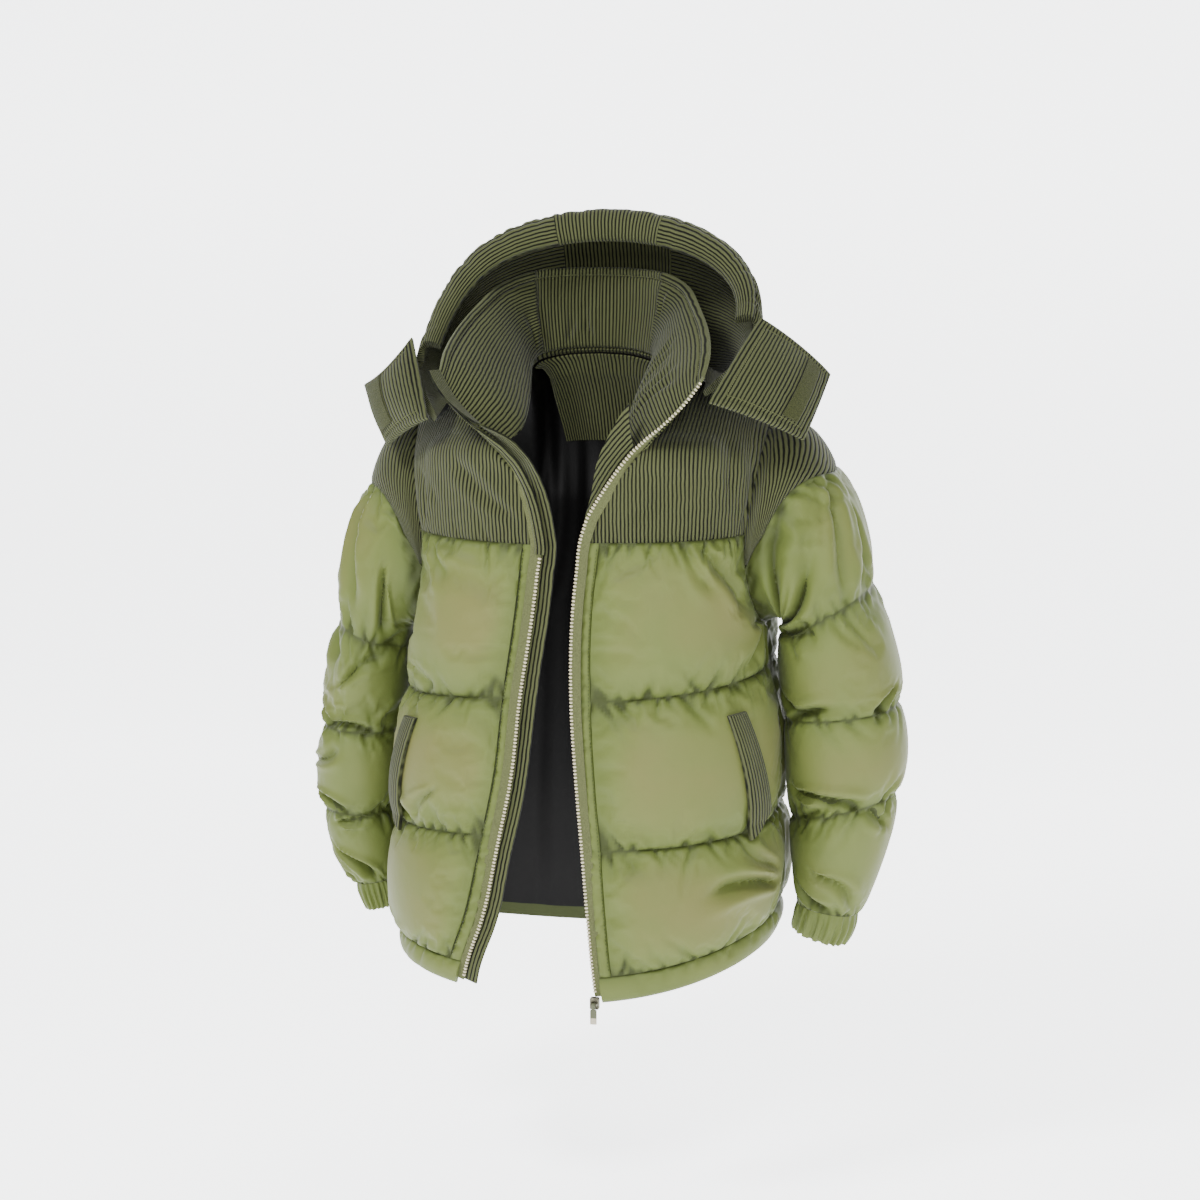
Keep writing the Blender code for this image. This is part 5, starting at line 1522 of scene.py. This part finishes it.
def back_neck_facing():
    """The half moon, over the part of the back yoke's inside that lies between its rises."""
    foot, top = 0.30, 0.985
    rises = np.linspace(foot, top, 41)[:, None]
    shares = 0.5 + np.interp(rises, [foot, top], [0.100, 0.175]) * np.linspace(-1, 1, 71)[None]
    rises = np.broadcast_to(rises, shares.shape)
    points = sample(yoke_inside, yoke_across, yoke_up, shares, rises)
    ways = unit(sample(yoke_inside_ways, yoke_across, yoke_up, shares, rises))
    along, down = spans(points)
    depth = np.interp(rises, [foot, 0.8, top], [0.0150, 0.0140, 0.0045])[..., None]
    near, far = points - ways * depth, points - ways * (depth + 0.002)
    made = add_piece("neck_facing", near, far, (along, down), corduroy, ["neck_facing"])


back_neck_facing()


# ---- front edges: zip tapes, teeth, wind flap and facing ----
# A woven olive tape runs up each front edge and up the collar, with moulded cream teeth 4 mm apart along it.
# Behind the right one a corduroy wind flap shows past the teeth; a facing shows inside the left edge.


EDGE_LIFT = 0.0034
COLLAR_EDGE = 0.107  # the length of the collar's front edge
TAPE_WIDTH, TAPE_UNDER = 0.008, 0.004  # past the cloth's edge, and under the placket
FLAP_REACH = 0.023
ZIP_FOOT = 3.75  # in rows


def front_line(side, steps):
    """Points up a front edge to the collar's top, the ways out of the edge and the cloth, and lengths."""
    rows = np.linspace(ZIP_FOOT, 0, 22)[:-1]
    angles = np.array([edge_angle(side, row, 0) for row in rows.tolist()])
    lapel, lapel_facing = lapel_curve(side, 8)
    lapel = lapel + lapel_facing * (EDGE_LIFT * np.linspace(0, 1, len(lapel)) ** 3)[:, None]
    collar_points, collar_facing = collar_grid(np.linspace(0, 14, 29), (0, 0.1, 0.35, 0.65, 0.9, 1.0))
    end = 0 if side > 0 else -1
    points = np.concatenate([body_point(angles, rows), lapel, collar_points[1:, end]])
    facing = np.concatenate([body_facing(angles, rows), lapel_facing, collar_facing[1:, end]])
    length = np.append(0, np.cumsum(np.linalg.norm(np.diff(points, axis=0), axis=1)))
    at = np.linspace(0, length[-1], steps + 1)
    line = smooth(length, points, at)
    facing = unit(smooth(length, facing, at))
    tangent = unit(np.gradient(line, axis=0))
    out = unit(np.cross(facing, tangent)) * side
    return line, out, unit(np.cross(tangent, out)) * side, at


def tape_drop(at):
    """How deep the tape sits: on the front wall's edge, and under the collar's."""
    top = at[-1]
    places = [0, top - COLLAR_EDGE - 0.03, top - COLLAR_EDGE + 0.02, top]
    return smooth(places, [0.0008, 0.0008, -0.0034, -0.0034], at)


tape_cloth, *_ = two_tone(
    "tape",
    (0.07, 0.08, 0.03),
    0.8,
    (20.0, 900.0),
    GRAIN,
    (0.040, 0.046, 0.016),
    (0.080, 0.088, 0.033),
    sheen=0.1,
    specular=0.2,
)
teeth_cream, *_ = two_tone(
    "teeth", (0.42, 0.37, 0.25), 0.42, (60.0, 400.0), GRAIN, (0.32, 0.28, 0.18), (0.50, 0.45, 0.32)
)
teeth_cream["slot"] = "tape"


def strip(name, line, offsets, normals, depth, surface, across=None):
    """A sheet along a front edge, off its line by the offsets, with its wales counted by across if given."""
    inner = line[:, None] + offsets
    along, down = spans(inner)
    pattern = (along if across is None else across + 0 * along, down)
    made = add_piece(name, inner + normals * depth, inner, pattern, surface, [name])


def zip_tape(side, name):
    line, out, facing, at = front_line(side, 300)
    across = np.linspace(-TAPE_UNDER, TAPE_WIDTH, 7)
    offsets = out[:, None] * across[None, :, None] + (facing * tape_drop(at)[:, None])[:, None]
    strip(name, line, offsets, facing[:, None], 0.0012, tape_cloth)


TOOTH_PITCH = 0.004
TOOTH_SIZE = (0.0036, 0.0024, 0.0032)
STITCH_SIZE = (0.0008, 0.0025, 0.0008)


def block_shape():
    """Points and faces of a block of size 1 with bevelled edges, for a moulded tooth or a stitch."""
    bpy.ops.mesh.primitive_cube_add(size=1)
    block = bpy.context.object
    bevel = block.modifiers.new("round", "BEVEL")
    bevel.width = 0.24
    bevel.segments = 1
    bpy.ops.object.modifier_apply(modifier=bevel.name)
    points = np.array([v.co for v in block.data.vertices])
    faces = [tuple(p.vertices) for p in block.data.polygons]
    bpy.data.objects.remove(block, do_unlink=True)
    return points, faces


block_points, block_faces = block_shape()


BLOCK_SHARP_ANGLE = 40


def repeated(name, size, centres, outs, ups, surface):
    """The block shape at every centre; its size is out of the line, along it and up."""
    runs = unit(np.cross(ups, outs))
    points, faces = [], []
    for k, (centre, *ways) in enumerate(zip(centres, outs, runs, ups)):
        points.append(centre + block_points * size @ np.array(ways))
        faces += [tuple(i + k * len(block_points) for i in face) for face in block_faces]
    mesh = bpy.data.meshes.new(name)
    mesh.from_pydata(np.concatenate(points).tolist(), [], faces)
    corners = [mesh.vertices[i].co for i in mesh.polygons[0].vertices[:3]]
    if (corners[1] - corners[0]).cross(corners[2] - corners[0]).dot(corners[0] - Vector(centres[0])) < 0:
        mesh.flip_normals()
    mesh.shade_smooth()
    mesh.set_sharp_from_angle(angle=np.radians(BLOCK_SHARP_ANGLE))
    worn(name, mesh, surface)


def yoke_seam_place(side, line):
    """Where a front edge's line passes the yoke seam."""
    return int(np.argmin(np.abs(line[:, 2] - body_point(edge_angle(side, 0.0, 0), 0.0)[2])))


def zip_teeth(side, name):
    """Teeth along a tape's edge, to the collar's top on the left and to below the yoke seam on the right."""
    line, out, facing, at = front_line(side, 600)
    last = at[-1] - 0.004 if side > 0 else at[yoke_seam_place(side, line)] - 0.012
    places = np.arange(0.006, last, TOOTH_PITCH)
    centres = smooth(at, line + facing * (tape_drop(at) + 0.0006)[:, None], places)
    outs, ups = unit(smooth(at, out, places)), unit(smooth(at, facing, places))
    repeated(name, TOOTH_SIZE, centres + outs * (TAPE_WIDTH - 0.0008), outs, ups, teeth_cream)


def stitches(name, line, ups, surface=tape_cloth, pitch=0.0034, lift=0.0, outs=None):
    """A row of sewing at a lift over a line on the cloth, whose ways out of the cloth are ups."""
    if outs is None:
        outs = unit(np.cross(np.gradient(line, axis=0), ups))
    line = line + ups * lift
    at = np.append(0, np.cumsum(np.linalg.norm(np.diff(line, axis=0), axis=1)))
    places = np.arange(pitch, at[-1] - pitch, pitch)
    centres, outs, ups = (smooth(at, rows, places) for rows in (line, outs, ups))
    repeated(name, STITCH_SIZE, centres, unit(outs), unit(ups), surface)


def folded_edge(name):
    """The corduroy edge folded over the right tape, from the yoke seam to the collar's corner."""
    line, out, facing, at = front_line(-1, 300)
    start = yoke_seam_place(-1, line) - 4
    line, out, facing, drop = line[start:], out[start:], facing[start:], tape_drop(at)[start:, None]
    across = np.linspace(0, 1, 13)[None]
    inner = line[:, None] + out[:, None] * (0.001 + 0.0125 * across)[..., None]
    low = inner + facing[:, None] * (drop[..., None] + 0.0014)
    high = inner + facing[:, None] * (drop + 0.0016 + 0.0022 * swell(across, 0.5))[..., None]
    add_piece(name, high, low, spans(inner), corduroy, [])
    for k, col in enumerate((2, 10)):
        stitches(f"{name}_stitches_{k + 1}", high[:, col], facing, lift=0.0002, outs=out)


def wind_flap(name):
    """The corduroy flap behind the right tape, which shows past the teeth."""
    line, out, facing, at = front_line(-1, 300)
    below = at[-1] - COLLAR_EDGE - at
    start = np.interp(below, [0.03, 0.07], [0.005, -0.008])[:, None]
    drop = np.interp(below, [-0.01, 0.05], [-0.0085, -0.0036])[:, None]
    share = np.linspace(0, 1, 15)[None]
    across = start + (FLAP_REACH - start) * share
    wave = 0.0010 * np.sin(at / 0.019)[:, None] * share
    offsets = out[:, None] * across[..., None] + facing[:, None] * (drop + wave)[..., None]
    strip(name, line, offsets, facing[:, None], 0.0022, corduroy)


def edge_facing(side, name):
    """The corduroy facing inside a front edge, widest under the collar, where it fans out to the neck."""
    line, out, facing, at = front_line(side, 400)
    below = at[-1] - COLLAR_EDGE - at
    keep = (below > 0.001) & (below < 0.140)
    line, out, facing, below = line[keep], out[keep], facing[keep], below[keep]
    stops = [0, 0.035, 0.07, 0.140]
    reach = smooth(stops, [0.036, 0.026, 0.014, 0.004], below)[:, None, None]
    depth = smooth(stops, [0.024, 0.014, 0.007, 0.002], below)[:, None, None]
    share = np.linspace(0, 1, 16)[None, :, None]
    offsets = out[:, None] * (0.0012 + reach * share) - facing[:, None] * (0.0036 + depth * share**1.3)
    fan = np.clip(1 - below / 0.045, 0, 1)[:, None, None] ** 1.5
    offsets = offsets + unit(np.gradient(line, axis=0))[:, None] * (0.034 * fan * share**1.5)
    normal = unit(out[:, None] * depth + facing[:, None] * reach)
    level = (np.hypot(reach, depth) * share)[..., 0]
    strip(name, line, offsets, -normal, 0.0018, corduroy, level)


def outline(grid, margin):
    """A closed path round a grid, in from its edges by a number of columns."""
    rows, cols = grid.shape[0] - 1 - margin, grid.shape[1] - 1 - margin
    down, across = grid[margin:rows, margin], grid[rows, margin:cols]
    return np.concatenate([down, across, grid[rows:margin:-1, cols], grid[margin, cols:margin:-1]])


STITCH_MARGIN = 6  # columns in from a flap's edge
PLACKET_STITCH = 0.0022  # in from the placket's seam, and over its wall
for side, word in ((1, "left"), (-1, "right")):
    flap_points, flap_ways, flap_height = flap_grid(side, FLAP_SHARES, FLAP_SHARES)
    top = flap_points + flap_ways * (flap_height + 0.0004)[..., None]
    stitches(f"flap_stitches_{word}", outline(top, STITCH_MARGIN), outline(flap_ways, STITCH_MARGIN))

stitches("collar_stitches", collar_rim, -collar_rim_ways, lift=0.0003)

for side, word in ((1, "left"), (-1, "right")):
    rows = np.linspace(0.02, 2.98, 220)
    angles = np.array([edge_angle(side, row, PLACKET_WIDTH - PLACKET_STITCH) for row in rows.tolist()])
    ways = body_facing(angles, rows)
    path = body_point(angles, rows) + ways * (WALL + PLACKET_STITCH)
    stitches(f"placket_stitches_{word}", path, ways, satin, pitch=0.0042)

for side, word in ((1, "left"), (-1, "right")):
    zip_tape(side, f"zip_tape_{word}")
    zip_teeth(side, f"zip_teeth_{word}")
folded_edge("folded_edge_right")
wind_flap("wind_flap_right")
edge_facing(1, "facing_left")


# ---- pocket welts ----
# A padded strip of corduroy along each slanted pocket mouth, with its wales along it.


WELT_ROWS, WELT_ANGLES = (1.17, 1.5, 1.97), (51.0, 57.0, 64.5)  # the line along its middle
WELT_HALF, WELT_WIDENS = 4.2, 1.6  # half its width in degrees at its top, and what its foot adds


def pocket_welt(side, name):
    down = np.linspace(WELT_ROWS[0], WELT_ROWS[-1], 61)
    middle = smooth(WELT_ROWS, WELT_ANGLES, down)
    shares = np.linspace(-1, 1, 25)
    foot = (down[:, None] - down[0]) / (down[-1] - down[0])
    angles = middle[:, None] + (WELT_HALF + WELT_WIDENS * foot) * shares[None]
    rows = down[:, None] - 0.09 * foot**3 * shares[None]
    around = on_side(side, angles)
    points, facing = body_point(around, rows), body_facing(around, rows)
    base = WALL + SHELL_PUFF * np.maximum(swell(rows % 1), 0.45) + 0.0012
    crown = 0.0035 + 0.003 * swell((shares + 1) / 2)[None]
    along, deep = spans(points)
    outer = points + facing * (base + crown)[..., None]
    add_piece(name, outer, points + facing * base[..., None], (along * 1.3, deep), corduroy, [name])


pocket_welt(1, "pocket_welt_left")
pocket_welt(-1, "pocket_welt_right")


# ---- zip slider and pull tab ----
# A cast slider in grey-bronze at the foot of the left zip, and an olive tab with a bare metal tip on its pin.


slider_metal, *_ = two_tone(
    "slider_metal",
    (0.12, 0.115, 0.08),
    0.38,
    (220.0, 900.0),
    MOTTLE,
    (0.050, 0.048, 0.030),
    (0.14, 0.13, 0.09),
    metallic=0.7,
)

pull_metal, pull_tree, pull_shader = new_material("pull_metal", (0.30, 0.30, 0.16), 0.5)
pull_place = node(pull_tree, "ShaderNodeTexCoord").outputs["Object"]
pull_height = node(pull_tree, "ShaderNodeSeparateXYZ", [("Vector", pull_place)]).outputs["Z"]
PULL_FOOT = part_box("zip_pull")[0][2]
bare = node(pull_tree, "ShaderNodeMapRange", [("Value", pull_height)])
set_inputs(bare, From_Min=PULL_FOOT + 0.0078, From_Max=PULL_FOOT + 0.0070)
bare_share = bare.outputs["Result"]
colour_ramp(pull_tree, pull_shader, bare_share, (0.0, (0.045, 0.050, 0.018)), (1.0, (0.34, 0.31, 0.24)))
pull_tree.links.new(bare_share, pull_shader.inputs["Metallic"])

for name, surface in (("zip_slider", slider_metal), ("zip_pull", pull_metal)):
    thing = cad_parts[name]
    for slot in thing.material_slots:
        slot.material = surface
